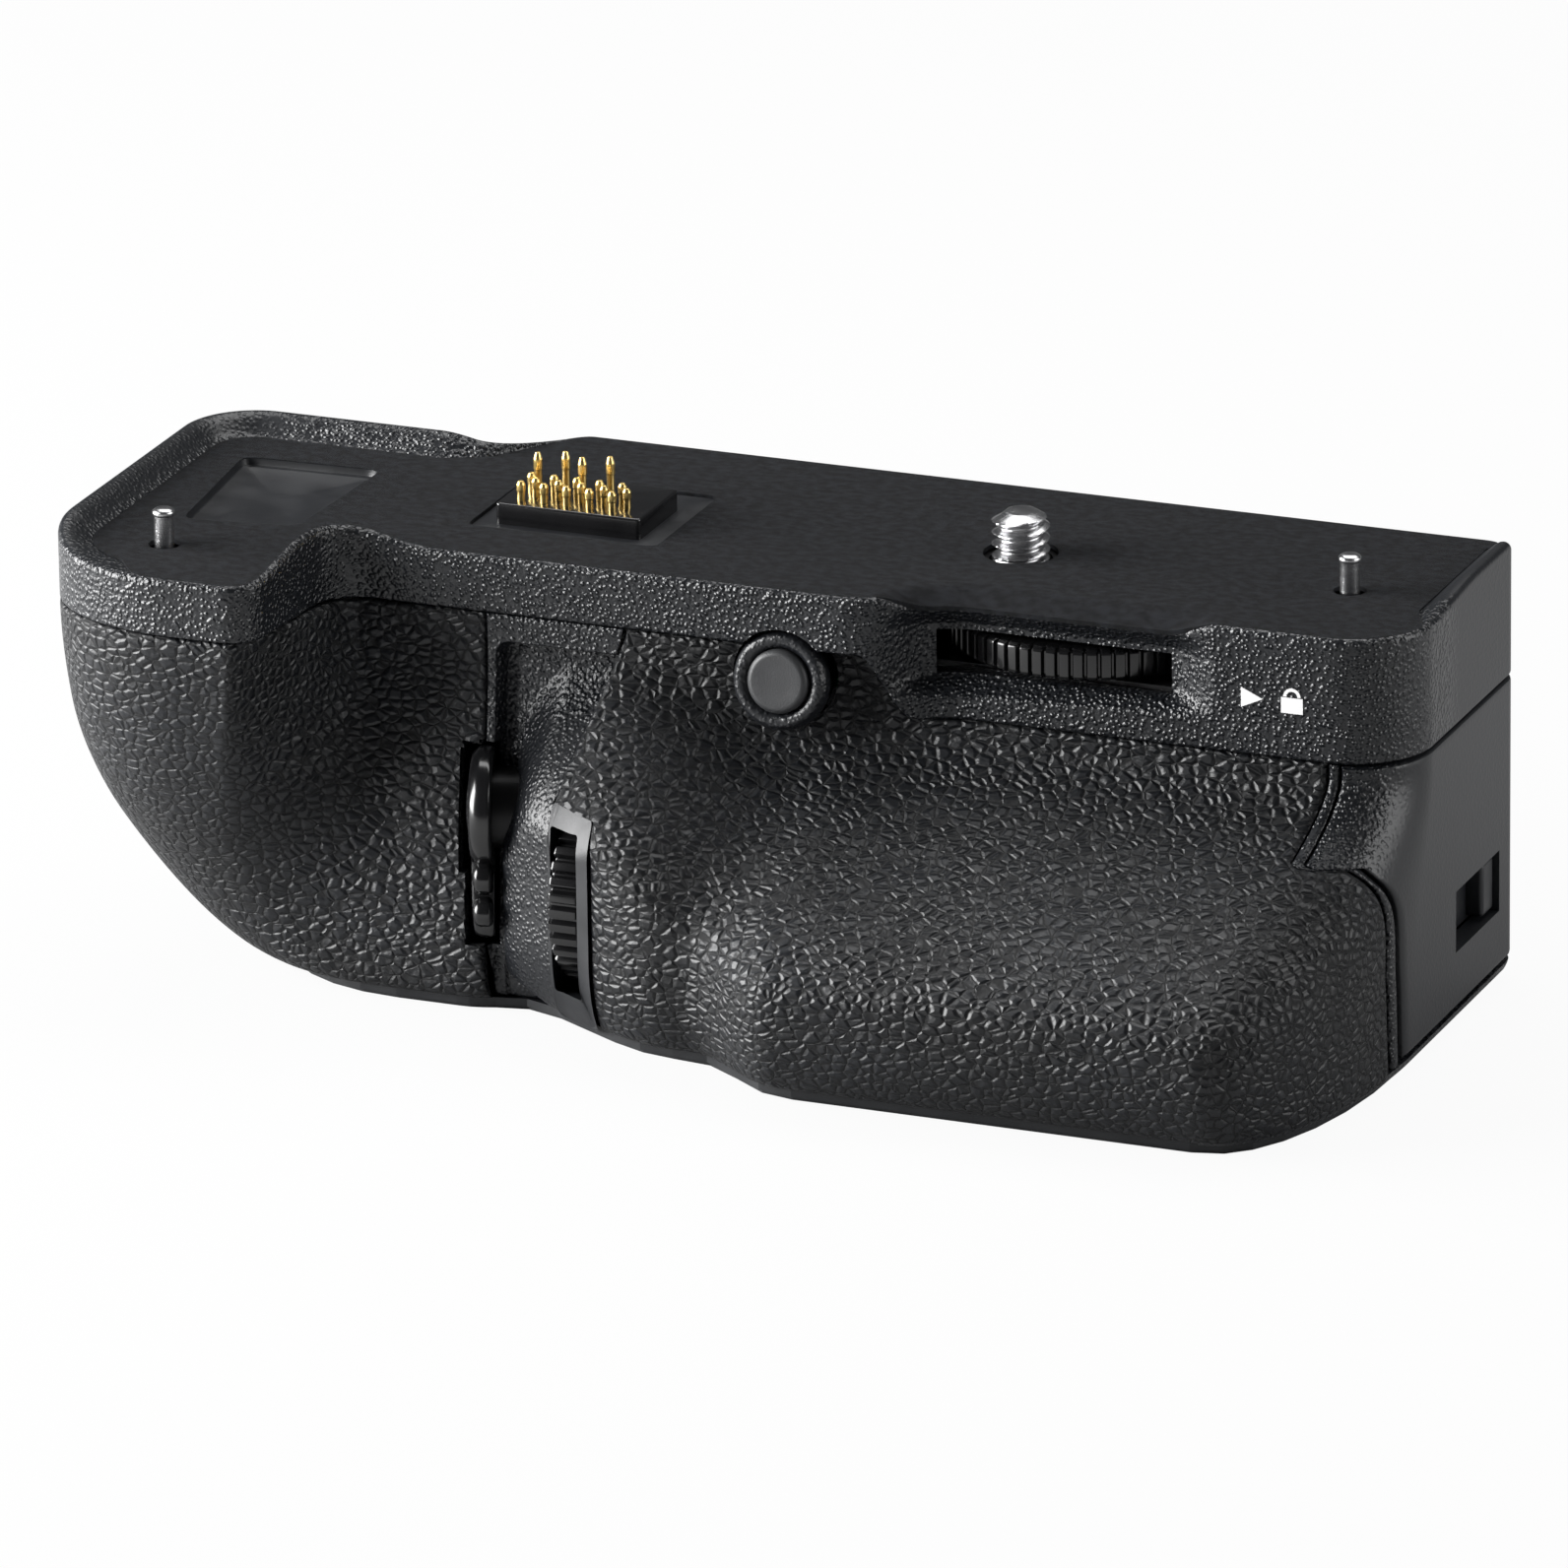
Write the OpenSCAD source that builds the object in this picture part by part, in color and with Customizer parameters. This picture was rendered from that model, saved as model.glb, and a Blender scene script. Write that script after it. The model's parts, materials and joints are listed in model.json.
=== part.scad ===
// Vertical battery grip for a camera, millimetres, +Z up.
// The origin is where the axis of the camera screw crosses the deck.

/* [Case] */
// overall length, end to end
case_length = 146; // [145:0.5:147]
// height of the deck above the table
case_height = 48; // [47.5:0.25:49]
// right end of the case, from the screw
right_x = 48.2; // [48:0.1:48.4]
// rear face of the case
rear_y = 20.7; // [20.6:0.1:21]
// rear face behind the left lobe
rear_left_y = 11.7; // [11.2:0.1:12.2]
// front of the left lobe
lobe_y = -39; // [-40:0.25:-38]
// front of the band between lobe and dial
centre_y = -20.2; // [-20.6:0.1:-19.8]
// front of the band round the lock dial
skirt_y = -15.2; // [-15.4:0.1:-15]
// forward reach of the hand grip
hump_y = -44.8; // [-46:0.2:-44]
// height of the band on the left
band_height = 6.3; // [6:0.1:6.6]
// height of the band on the right
skirt_height = 13.65; // [13.4:0.05:13.9]
// wall of the top case
wall = 2; // [1.8:0.1:2.2]
// height of the lips at both ends of the deck
lip_height = 2; // [1.5:0.1:2.5]
// thickness of the rubber covers
cover = 1.2; // [1:0.1:1.4]

/* [Camera screw] */
// radius over the thread of the camera screw
screw_radius = 3.1; // [3:0.05:3.15]
// height of the camera screw above the deck
screw_height = 4.5; // [3.5:0.1:5.5]
// gear module of the screw drive
gear_module = 0.6; // [0.6:0.01:0.62]
// teeth of the ring gear inside the lock dial
ring_teeth = 40; // [40:1:40]
// teeth of the pinion on the screw
pinion_teeth = 13; // [13:1:13]
// radius of the lock dial
lock_radius = 15.6; // [15.2:0.1:15.8]
// ribs round the lock dial
lock_ribs = 64; // [48:4:72]

/* [Controls] */
// radius of the front command dial
front_dial_radius = 10.5; // [10:0.1:10.8]
// ribs round the command dials
dial_ribs = 40; // [30:2:48]
// radius of the rear command dial
rear_dial_radius = 8.5; // [8.2:0.1:8.7]
// radius of the release button
release_radius = 4; // [3.8:0.05:4]
// radius of the function button
fn_radius = 3.4; // [3.2:0.05:3.4]
// upward tilt of the function button
fn_tilt = 10; // [8:1:12]
// radius of the two rear buttons
rear_button_radius = 3.2; // [3:0.05:3.2]

/* [Pins and sockets] */
// radius of the two guide pins
guide_radius = 1.05; // [1:0.05:1.1]
// height of the guide pins above the deck
guide_height = 4.1; // [3.5:0.1:4.5]
// radius of the tripod socket
socket_radius = 3.175; // [3.1:0.025:3.2]
// radius of the door hinge pin
hinge_radius = 1; // [0.9:0.05:1]

/* [Hidden] */
$fn = 48;
left_x = right_x - case_length;
bottom_z = -case_height;
seam_z = -band_height;
skirt_z = -skirt_height;
// gap between covers and the case under them
skin_gap = 0.35;
// step from the camera screw's and guide pins' shank up to their seat, on the radius
shoulder = 0.2;
// thickness of the battery door
door_thick = 2.2;
// gap round anything that swings
swing_gap = 0.3;
// plan of the left lobe's front corner
lobe_corner = [17, 12.5];
// right flank of the lobe: outer and inner corner radius, x where the flank stands
lobe_round = [3.9, 5];
lobe_flank = left_x + 27.2;
// x range over which the lobe falls back to the centre below the band
lobe_fall = [left_x + 23.8, left_x + 30.6];
// x range over which the centre steps back to the dial
step_fall = [-12.8, 0.2];
// front right corner of the band
band_corner = 8.7;
// rear right corner, which is also the door's hinge barrel
rear_corner = 3.7;
// rear left corner
lobe_rear_corner = 8;
// x range over which the rear face steps forward on the left
rear_fall = [-66.8, -56.8];
// lower rim of the lower case's wall, on the base plate
case_foot = -46.6;
// front of the case at the foot, left of the panel
foot_y = -29;
// seam between left cover and release panel: x at the band and at the foot
panel_x = [-52.5, -49.3];
// left face of the nose that carries the release button
nose_x = -48.2;
// middle of the lever round the release button, and how far their axis turns from the end to the front
release_at = [-51.2, -24.6, -26.3];
release_tilt = 18;
// y where the release button's stem meets its switch
switch_y = -21.9;
// outer radius, half thickness and reach of the lever with its tab
lever_radius = 6.5;
lever_half = 1.25;
lever_reach = 13.9;
// depth of the recess above the release button
recess_depth = 1.9;
// front command dial
front_dial_at = [-38.5, -23.7, -33.5];
front_dial_width = 3.6;
// rear command dial
rear_dial_at = [-44, 13.4, -17];
rear_dial_width = 5;
// function button
fn_at = [-19.2, -20.9, -9.8];
// rear controls, X and Z
rear_buttons = [[-28, -15], [-24.5, -27]];
stick_at = [-35, 15, -30];
// lock dial: centre, height range
gear_distance = gear_module * (ring_teeth - pinion_teeth) / 2;
mesh_angle = 8;
lock_at = [gear_distance * cos(mesh_angle), gear_distance * sin(mesh_angle)];
lock_z = [-8.4, -5];
// screws of the plate under the lock dial
plate_screws_at = [[-9, -8], [24.4, -8], [-9, 14.5], [24.4, 14.5]];
// guide pins
guides_at = [[-85.7, -28.1], [36.6, 0.1]];
// connector block on the deck
block_x = [-55.9, -39.4];
block_y = [-9.3, 1.5];
block_top = 2;
// hinge of the battery door
hinge_at = [right_x - rear_corner, rear_y - rear_corner];
// slot of the door latch, in Y and Z
latch_y = [0.6, 14.2];
latch_z = [-38.9, -32.1];
// battery sleeve, outer
sleeve_x = [-20, 40.4];
sleeve_y = [-8.6, 17.6];
sleeve_z = [-42, -14.2];
// screws of the base plate
base_screws_at = [[-62, -10], [-62, 5], [-24, 14], [34, 14], [30, -30], [-12, -30]];

case_black = [0.06, 0.06, 0.065];
cover_black = [0.045, 0.045, 0.05];
gloss_black = [0.03, 0.03, 0.032];
steel = [0.72, 0.72, 0.74];
gold = [0.83, 0.66, 0.32];

// eased step from 0 to 1
function ease(t) = let (u = max(0, min(1, t))) u * u * (3 - 2 * u);
function blend(a, b, t) = a + (b - a) * t;
function span(a, b, n) = [for (i = [0 : n]) a + (b - a) * i / n];
// how far an edge of depth a has rolled under at share t of its height
function roll(a, t) = a * (1 - sqrt(max(0, 1 - pow(max(0, min(0.999, t)), 2))));
// corner points of a convex outline, each turned into an arc of n steps
function rounded(points, r, n = 5) = [
    for (i = [0 : len(points) - 1])
        let (p = points[i],
            a = points[(i + len(points) - 1) % len(points)] - p,
            b = points[(i + 1) % len(points)] - p,
            ua = a / norm(a),
            ub = b / norm(b),
            half = acos(ua * ub) / 2,
            mid = (ua + ub) / norm(ua + ub),
            centre = p + mid * r / sin(half),
            start = p + ua * r / tan(half) - centre,
            end = p + ub * r / tan(half) - centre)
            for (k = [0 : n])
                let (d = start + (end - start) * k / n)
                    centre + d / norm(d) * r];
function box_points(x, y) = [[x[0], y[0]], [x[1], y[0]], [x[1], y[1]], [x[0], y[1]]];

// front of the band over X, right of the lobe
function band_front(x) =
    blend(centre_y, skirt_y, ease((x - step_fall[0]) / (step_fall[1] - step_fall[0])));
// rear of the case over X
function rear_line(x) =
    blend(rear_left_y, rear_y, ease((x - rear_fall[0]) / (rear_fall[1] - rear_fall[0])));
// point d inside the curve through a and b at p, with the body on the left
function inside(p, a, b, d) =
    let (t = (b - a) / norm(b - a))
        p + d * [-t[1], t[0]];
// plan outline of the band: d inside at front and rear, e round the left end, r at the right end
function band_outline(d, e = undef, r = undef) =
    let (le = is_undef(e) ? d : e, ri = is_undef(r) ? d : r)
    concat(
        [for (a = [0 : 9 : 81])
            [left_x + lobe_corner[0] - (lobe_corner[0] - le) * cos(a),
                lobe_y + lobe_corner[1] - (lobe_corner[1] - le) * sin(a)]],
        [for (a = [-90 : 14 : -6])
            [lobe_flank - lobe_round[0] - 0.4, lobe_y + lobe_round[0]]
            + (lobe_round[0] - d) * [cos(a), sin(a)]],
        [for (a = [174 : -12 : 90])
            [lobe_flank + lobe_round[1] + 0.4, centre_y - lobe_round[1]]
            + (lobe_round[1] + d) * [cos(a), sin(a)]],
        [for (x = span(step_fall[0], step_fall[1], 10))
            inside([x, band_front(x)], [x - 0.1, band_front(x - 0.1)],
                [x + 0.1, band_front(x + 0.1)], d)],
        [for (a = [-90 : 9 : 0])
            [right_x - band_corner + (band_corner - (a < -45 ? d : ri)) * cos(a),
                skirt_y + band_corner + (band_corner - (a < -45 ? d : ri)) * sin(a)]],
        [for (a = [0 : 15 : 90])
            hinge_at + (rear_corner - (a < 45 ? ri : d)) * [cos(a), sin(a)]],
        [for (x = span(rear_fall[1] + 2, rear_fall[0] - 2, 14))
            inside([x, rear_line(x)], [x + 0.1, rear_line(x + 0.1)],
                [x - 0.1, rear_line(x - 0.1)],
                blend(le, d, ease((x - rear_fall[0]) / (rear_fall[1] - rear_fall[0]))))],
        [for (a = [90 : 10 : 180])
            [left_x + lobe_rear_corner + (lobe_rear_corner - le) * cos(a),
                rear_left_y - lobe_rear_corner + (lobe_rear_corner - le) * sin(a)]]);

// seam between left cover and release panel at height z
function panel_edge(z) = blend(panel_x[0], panel_x[1], pow((seam_z - z) / 40.7, 1.3));
// left end of the body at height z
function body_left(z) =
    let (t = max(0, min(0.995, (-18 - z) / 30)))
        left_x + 26 - 26 * sqrt(1 - t * t);
// forward line of the hand grip over X
function crest(x) =
    -28.5 - 9.5 * ease((x + 50) / 24) + (hump_y + 38) * ease((x + 24) / 13);
// share of the hand grip in the front face, 0 left of the panel
function grip_share(x) = ease((x + 53) / 10);
// x range over which the lobe falls back at height z
function fall_start(z) = lobe_fall[0] - 8 * ease((seam_z - z) / 38.7);
function fall_end(z) = lobe_fall[1] + 11 * ease((seam_z - z) / 38.7);
// x of the front face's points at height z, close together where it falls back
function front_stations(z, first, last) = concat(
    span(first, max(first + 1, fall_start(z)), 3),
    [for (k = [1 : 10]) blend(max(first + 1, fall_start(z)), fall_end(z), k / 10)],
    [for (k = [1 : 5]) blend(fall_end(z), last, k / 5)]);
// front of the body at x and height z
function body_front(x, z) =
    let (w = ease((seam_z - z) / 38.7),
        lobe = blend(lobe_y, foot_y, w),
        valley = blend(centre_y, foot_y, w),
        left = blend(lobe, valley,
            ease((x - fall_start(z)) / (fall_end(z) - fall_start(z)))),
        along = ease((x + 40) / 25),
        high = blend(-6.5, -15, along),
        low = blend(-25, -36, along),
        base = blend(centre_y, skirt_y, ease((x + 30) / 30)),
        hump = blend(base, crest(x), ease((high - z) / (high - low))),
        g = grip_share(x),
        under = blend(foot_roll(z), roll(6, (-38 - z) / 10.5), g))
        blend(left, hump, g) + under;
// valley left of the panel at height z
function valley_front(z) = blend(centre_y, foot_y, ease((seam_z - z) / 38.7));
// share of the way from band corner to grip corner at height z
function corner_share(z) = ease((-15 - z) / 21);
function corner_x(z) = blend(right_x - band_corner, 35.2, corner_share(z));
function corner_y(z) = blend(skirt_y + band_corner, -12, corner_share(z));
// inward roll of end and rear faces at the foot
function foot_roll(z) = roll(3, (bottom_z + 3.2 - z) / 3.2);
// right corner at angle a (90 front, 0 end), d inside
function corner_point(a, z, d) =
    let (cx = corner_x(z), cy = corner_y(z), fy = body_front(cx, z),
        rx = right_x - foot_roll(z) - cx - d, ry = cy - fy - d)
        [cx + rx * cos(a), cy - ry * sin(a)];
// front face point, d inside
function front_point(x, z, d) =
    inside([x, body_front(x, z)], [x - 0.1, body_front(x - 0.1, z)],
        [x + 0.1, body_front(x + 0.1, z)], d);
// left front corner point at angle a (0 end, 90 front), d inside
function left_point(a, z, d) =
    let (xl = body_left(z), fy = body_front(xl + lobe_corner[0], z))
        [xl + lobe_corner[0] - (lobe_corner[0] - d) * cos(a),
            fy + lobe_corner[1] - (lobe_corner[1] - d) * sin(a)];
// left rear corner point at angle a (90 rear, 180 end), d inside
function left_rear_point(a, z, d) =
    [body_left(z) + lobe_rear_corner + (lobe_rear_corner - d) * cos(a),
        rear_left_y - lobe_rear_corner + (lobe_rear_corner - foot_roll(z) - d) * sin(a)];

// whole plan ring of the lower case: d inside at front and left, e inside at the right end,
// r inside at the rear
function body_ring(z, d, e, r) = concat(
    [for (a = [0 : 15 : 75]) left_point(a, z, d)],
    [for (x = front_stations(z, body_left(z) + lobe_corner[0], panel_edge(z))) front_point(x, z, d)],
    [for (x = span(-46, corner_x(z) - 1, 20)) front_point(x, z, d)],
    [for (a = [78 : -13 : 0]) corner_point(a, z, a > 12 ? max(d, e) : e)],
    [for (a = [0 : 30 : 90])
        hinge_at + [(rear_corner - e - foot_roll(z)) * cos(a), (rear_corner - r - foot_roll(z)) * sin(a)]],
    [for (x = span(rear_fall[1] + 2, max(rear_fall[0] - 2, body_left(z) + 9), 8))
        [x, rear_line(x) - r - foot_roll(z)]],
    [for (a = [90, 101, 112]) left_rear_point(a, z, r)],
    [for (a = [114, 120, 135, 150, 165, 180]) left_rear_point(a, z, d)]);

// closed shell between two grids of points, rows by columns
module skin(outer, inner) {
    rows = len(outer);
    cols = len(outer[0]);
    n = rows * cols;
    points = concat([for (row = outer) each row], [for (row = inner) each row]);
    top_side = [for (r = [0 : rows - 2], c = [0 : cols - 2])
        let (i = r * cols + c)
            each [[i, i + cols + 1, i + cols], [i, i + 1, i + cols + 1]]];
    under_side = [for (f = top_side) [f[2] + n, f[1] + n, f[0] + n]];
    rim_rows = [for (c = [0 : cols - 2])
        let (i = c, j = (rows - 1) * cols + c)
            each [[i, i + 1 + n, i + 1], [i, i + n, i + 1 + n],
                [j + 1, j + n, j], [j + 1, j + 1 + n, j + n]]];
    rim_cols = [for (r = [0 : rows - 2])
        let (i = r * cols, j = r * cols + cols - 1)
            each [[i + cols, i + n, i], [i + cols, i + cols + n, i + n],
                [j, j + cols + n, j + cols], [j, j + n, j + cols + n]]];
    polyhedron(points, concat(top_side, under_side, rim_rows, rim_cols));
}
// closed wall from rings of points, listed from the top down outside and inside
module wall_of_rings(outer, inner) {
    n = len(outer[0]);
    rings = concat(outer, [for (k = [len(inner) - 1 : -1 : 0]) inner[k]]);
    m = len(rings);
    polyhedron([for (ring = rings) each ring],
        [for (k = [0 : m - 1], i = [0 : n - 1])
            let (j = (i + 1) % n, a = k * n, b = (k + 1) % m * n)
                each [[a + i, b + j, b + i], [a + i, a + j, b + j]]]);
}
function at_height(ring, z) = [for (p = ring) [p[0], p[1], z]];
// box from ranges
module block(x, y, z) {
    translate([x[0], y[0], z[0]])
        cube([x[1] - x[0], y[1] - y[0], z[1] - z[0]]);
}
module prism(points, z) {
    translate([0, 0, z[0]])
        linear_extrude(z[1] - z[0])
            polygon(points);
}
// prism along Y from an outline in X and Z
module prism_y(points, y) {
    translate([0, y[1], 0])
        rotate([90, 0, 0])
            linear_extrude(y[1] - y[0])
                polygon(points);
}
// prism along X from an outline in Y and Z
module prism_x(points, x) {
    translate([x[0], 0, 0])
        rotate([90, 0, 90])
            linear_extrude(x[1] - x[0])
                polygon(points);
}
module post(at, r, z) {
    translate([at[0], at[1], z[0]])
        cylinder(r = r, h = z[1] - z[0]);
}
module rod_x(at, r, x) {
    translate([x[0], at[0], at[1]])
        rotate([0, 90, 0])
            cylinder(r = r, h = x[1] - x[0]);
}
module rod_y(at, r, y) {
    translate([at[0], y[1], at[1]])
        rotate([90, 0, 0])
            cylinder(r = r, h = y[1] - y[0]);
}
// outline of a ribbed wheel
function ribbed(r, n, depth) = [
    for (i = [0 : n - 1], k = [[0, 0], [0.45, 0], [0.6, 1], [0.85, 1]])
        let (a = 360 * (i + k[0]) / n, q = r - depth * k[1])
            q * [cos(a), sin(a)]];
// outline of a gear: tooth tips at radius tip, valleys at root, a tooth on the X axis
function toothed(n, root, tip, root_share, tip_share) = [
    for (i = [0 : n - 1],
        k = [[-root_share, root], [-tip_share, tip], [tip_share, tip], [root_share, root]])
        let (a = 360 * (i + k[0] / 2) / n)
            k[1] * [cos(a), sin(a)]];

// lower edge of the band over X, gap below it
function seam_line(gap) = concat(
    [for (x = span(-10.8, -5.2, 8)) [x, blend(seam_z, skirt_z, ease((x + 10.8) / 5.6)) - gap]]);
module band_side(gap, bottom) {
    prism_y(concat([[left_x - 5, seam_z - gap]], seam_line(gap),
        [[right_x + 5, skirt_z - gap], [right_x + 5, bottom], [left_x - 5, bottom]]), [-60, 40]);
}
module end_lips() {
    intersection() {
        difference() {
            prism(band_outline(0), [-1, lip_height]);
            prism(band_outline(3.6), [-2, lip_height + 1]);
        }
        union() {
            intersection() {
                prism_x([[-40, -2], [-40, 0], [-27, lip_height], [30, lip_height], [30, -2]],
                    [left_x - 1, -50]);
                prism_y([[left_x - 1, -2], [left_x - 1, lip_height], [-69, lip_height],
                    [-59, 0], [-59, -2]], [-34, 30]);
                union() {
                    block([left_x - 1, left_x + 12], [-40, 30], [-2, 5]);
                    block([left_x - 1, -50], [0, 30], [-2, 5]);
                }
            }
            prism_x([[-8, -2], [-8, 0], [10, lip_height], [30, lip_height], [30, -2]],
                [right_x - 2.6, right_x + 1]);
        }
    }
}
module top_case() color(case_black) {
    difference() {
        union() {
            difference() {
                intersection() {
                    prism(band_outline(0), [skirt_z, 0]);
                    band_side(0, 1);
                }
                prism(band_outline(wall), [skirt_z - 1, -3]);
            }
            end_lips();
            intersection() {
                block([-5, 34], [skirt_y + wall - 0.2, -11], [-12.5, -2.8]);
                prism(band_outline(0.5), [-14, 0]);
            }
            post([0, 0], 6, [-4.4, -2.8]);
            for (at = plate_screws_at)
                post(at, 2.2, [-9, -2.8]);
            for (at = guides_at)
                post(at, 2.4, [-5.5, -2.8]);
            intersection() {
                post(hinge_at, rear_corner + 0.5, [skirt_z, -2.8]);
                prism(band_outline(0.5), [-14, 0]);
            }
        }
        prism(band_outline(1.2, 3.6, 2.7), [-0.6, 5]);
        prism(pocket_outline(0), [-1.9, 1]);
        prism(rounded(box_points([-58.3, -36.7], [-11.4, 6.2]), 1), [-1.3, 1]);
        block([block_x[0] - 0.1, block_x[1] + 0.1], [block_y[0] - 0.1, block_y[1] + 0.1], [-4, 1]);
        post([0, 0], 4.4, [-5, 1]);
        for (at = guides_at)
            post(at, guide_radius + 0.25, [-5, 1]);
        for (at = plate_screws_at)
            post(at, 0.8, [-10, -4]);
        post(hinge_at, hinge_radius, [skirt_z - 1, -8]);
        translate(fn_at)
            rotate([90 - fn_tilt, 0, 0])
                cylinder(r = 5.5, h = 16, center = true);
        post(lock_at, lock_radius + swing_gap, [lock_z[0] - 0.5, lock_z[1] + 0.5]);
        intersection() {
            prism_x([[skirt_y - 2, -13], [skirt_y + 2.3, -9.3], [skirt_y + 2.3, -4],
                [skirt_y - 2, -1.6]], [-20, 50]);
            prism([[-12, skirt_y - 3], [-3.6, skirt_y + 2.4], [24.4, skirt_y + 2.4],
                [33.5, skirt_y - 3]], [-20, 1]);
        }
    }
}
function pocket_outline(d) = rounded([[-89.7 + d, 1.4 - d], [-87.4 + d, -19.8 + d],
    [-74.9 - d, -18 + d], [-73.9 - d, 2.1 - d]], 1.5);
module deck_pad() color([0.1, 0.1, 0.105]) {
    difference() {
        prism(band_outline(1.3, 3.7, 2.8), [-0.55, 0]);
        prism(pocket_outline(-0.1), [-2, 2]);
        prism(rounded(box_points([-58.4, -36.6], [-11.5, 6.3]), 1), [-2, 2]);
        post([0, 0], 4.1, [-2, 2]);
        for (at = guides_at)
            post(at, 1.9, [-2, 2]);
    }
}
module connector_plate() color(case_black) {
    difference() {
        prism(rounded(box_points([-58.2, -36.8], [-11.3, 6.1]), 1), [-1.25, -0.3]);
        block([block_x[0] - 0.1, block_x[1] + 0.1], [block_y[0] - 0.1, block_y[1] + 0.1], [-2, 1]);
        post([-38, -8], 0.7, [-2, 1]);
    }
}
// places of the tall contacts on the block
tall_at = [[-53.4, -3.4], [-50.7, -2.2], [-48.3, -3.4], [-45.6, -2.2]];
// places of the short contacts on the block
short_at = [for (row = [0 : 2], i = [0 : 4]) [-53.6 + 2.6 * i + 1.1 * (row % 2), -7.6 + 1.45 * row]];
module connector_block() color(gloss_black) {
    difference() {
        block(block_x, block_y, [-4.1, block_top]);
        for (at = concat(tall_at, short_at))
            post(at, 0.5, [-5, 3]);
    }
}
module contacts_tall() color(gold) {
    for (at = tall_at)
        translate([at[0], at[1], -4.1]) {
            cylinder(r = 0.48, h = 9.4, $fn = 24);
            translate([0, 0, 9.4])
                cylinder(r1 = 0.48, r2 = 0.2, h = 0.8, $fn = 24);
        }
}
module contacts_short() color(gold) {
    for (at = short_at)
        translate([at[0], at[1], -4.1]) {
            cylinder(r = 0.48, h = 7.9, $fn = 24);
            translate([0, 0, 7.9])
                cylinder(r1 = 0.48, r2 = 0.25, h = 0.4, $fn = 24);
        }
}
module guide_pins() color(steel) {
    for (at = guides_at) {
        post(at, guide_radius + shoulder, [-4.8, -0.5]);
        post(at, guide_radius, [-0.6, guide_height - 0.5]);
        translate([at[0], at[1], guide_height - 0.5])
            cylinder(r1 = guide_radius, r2 = 0.5, h = 0.5);
    }
}
module screw_bush() color([0.7, 0.6, 0.35]) {
    difference() {
        post([0, 0], 4.4, [-4.4, -0.7]);
        post([0, 0], screw_radius + shoulder + 0.06, [-5, 0]);
    }
}
module lock_plate() color(steel) {
    difference() {
        union() {
            prism(rounded(box_points([-11.5, 27], [-10.6, 17]), 2.5), [-10.2, -9]);
            post(lock_at, 2, [-9.5, -6.4]);
        }
        for (at = plate_screws_at)
            post(at, 1.05, [-11, -8]);
    }
}
module plate_screws() color(steel) {
    for (at = plate_screws_at) {
        post(at, 0.8, [-10.3, -5]);
        difference() {
            post(at, 1.7, [-11.2, -10.2]);
            block([at[0] - 1.2, at[0] + 1.2], [at[1] - 0.2, at[1] + 0.2], [-12, -10.7]);
        }
    }
}
// white arrow and a plain padlock sign right of the dial
module lock_marks() color([0.9, 0.9, 0.9]) {
    prism_y([[30.2, -8.5], [32.6, -7.4], [30.2, -6.3]], [skirt_y - 0.06, skirt_y - 0.01]);
    prism_y(box_points([34.6, 37], [-8.6, -6.9]), [skirt_y - 0.06, skirt_y - 0.01]);
    difference() {
        rod_y([35.8, -6.8], 0.95, [skirt_y - 0.06, skirt_y - 0.01]);
        rod_y([35.8, -6.8], 0.6, [skirt_y - 1, skirt_y + 1]);
        block([34, 38], [skirt_y - 1, skirt_y + 1], [-8.5, -6.8]);
    }
}

// heights of the lower case's rings, from the top down
case_shares = [0, 0.038, 0.084, 0.129, 0.175, 0.221, 0.266, 0.312, 0.403, 0.525, 0.647, 0.769, 0.86, 0.962,
    0.9635, 1];
inner_shares = [0, 0.1, 0.2, 0.312, 0.403, 0.525, 0.647, 0.769, 0.86, 1];
// stations along the front and the rear of the lower case, close together where the band's edge steps
front_steps = concat(span(-46, -14, 9), span(-12, -4, 9), [0, 6, 12, 18, 24, 30, 34.5, 39]);
rear_steps = concat([40, 20, 0, -4], span(-5, -11, 8), [-13, -34]);
// height of the lower case's wall at x, a share v of the way down from the band's edge
function case_z(x, v) = blend(blend(seam_z, skirt_z, ease((x + 10.8) / 5.6)) - 0.1, case_foot, v);
function lift(p, z) = [p[0], p[1], z];
// x of a front station, drawn in where the corner starts early
function front_x(x, z) = x < 30 ? x : blend(30, corner_x(z) - 1, (x - 30) / 9);
// plan ring of the lower case, inset d at the front, e at the right end, foot below the door, r at the rear
function case_ring(v, d, e, foot, r) =
    let (zl = case_z(left_x, v), zr = case_z(right_x, v), end = zr > -45.4 ? e : foot)
        concat(
            [for (a = [0 : 15 : 75]) lift(left_point(a, zl, d), zl)],
            [for (x = front_stations(zl, body_left(zl) + lobe_corner[0], panel_edge(zl)))
                lift(front_point(x, zl, d), zl)],
            [for (x = front_steps) let (z = case_z(x, v)) lift(front_point(front_x(x, z), z, d), z)],
            [for (a = [78 : -13 : 0]) lift(corner_point(a, zr, a > 12 ? max(d, end) : end), zr)],
            [for (a = [0 : 30 : 90])
                lift(hinge_at + [(rear_corner - end - foot_roll(zr)) * cos(a),
                    (rear_corner - r - foot_roll(zr)) * sin(a)], zr)],
            [for (x = rear_steps) let (z = case_z(x, v)) [x, rear_y - r - foot_roll(z), z]],
            [for (x = span(rear_fall[1] + 2, max(rear_fall[0] - 2, body_left(zl) + 9), 8))
                [x, rear_line(x) - r - foot_roll(zl), zl]],
            [for (a = [90, 101, 112]) lift(left_rear_point(a, zl, r), zl)],
            [for (a = [114, 120, 135, 150, 165, 180]) lift(left_rear_point(a, zl, d), zl)]);
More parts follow.
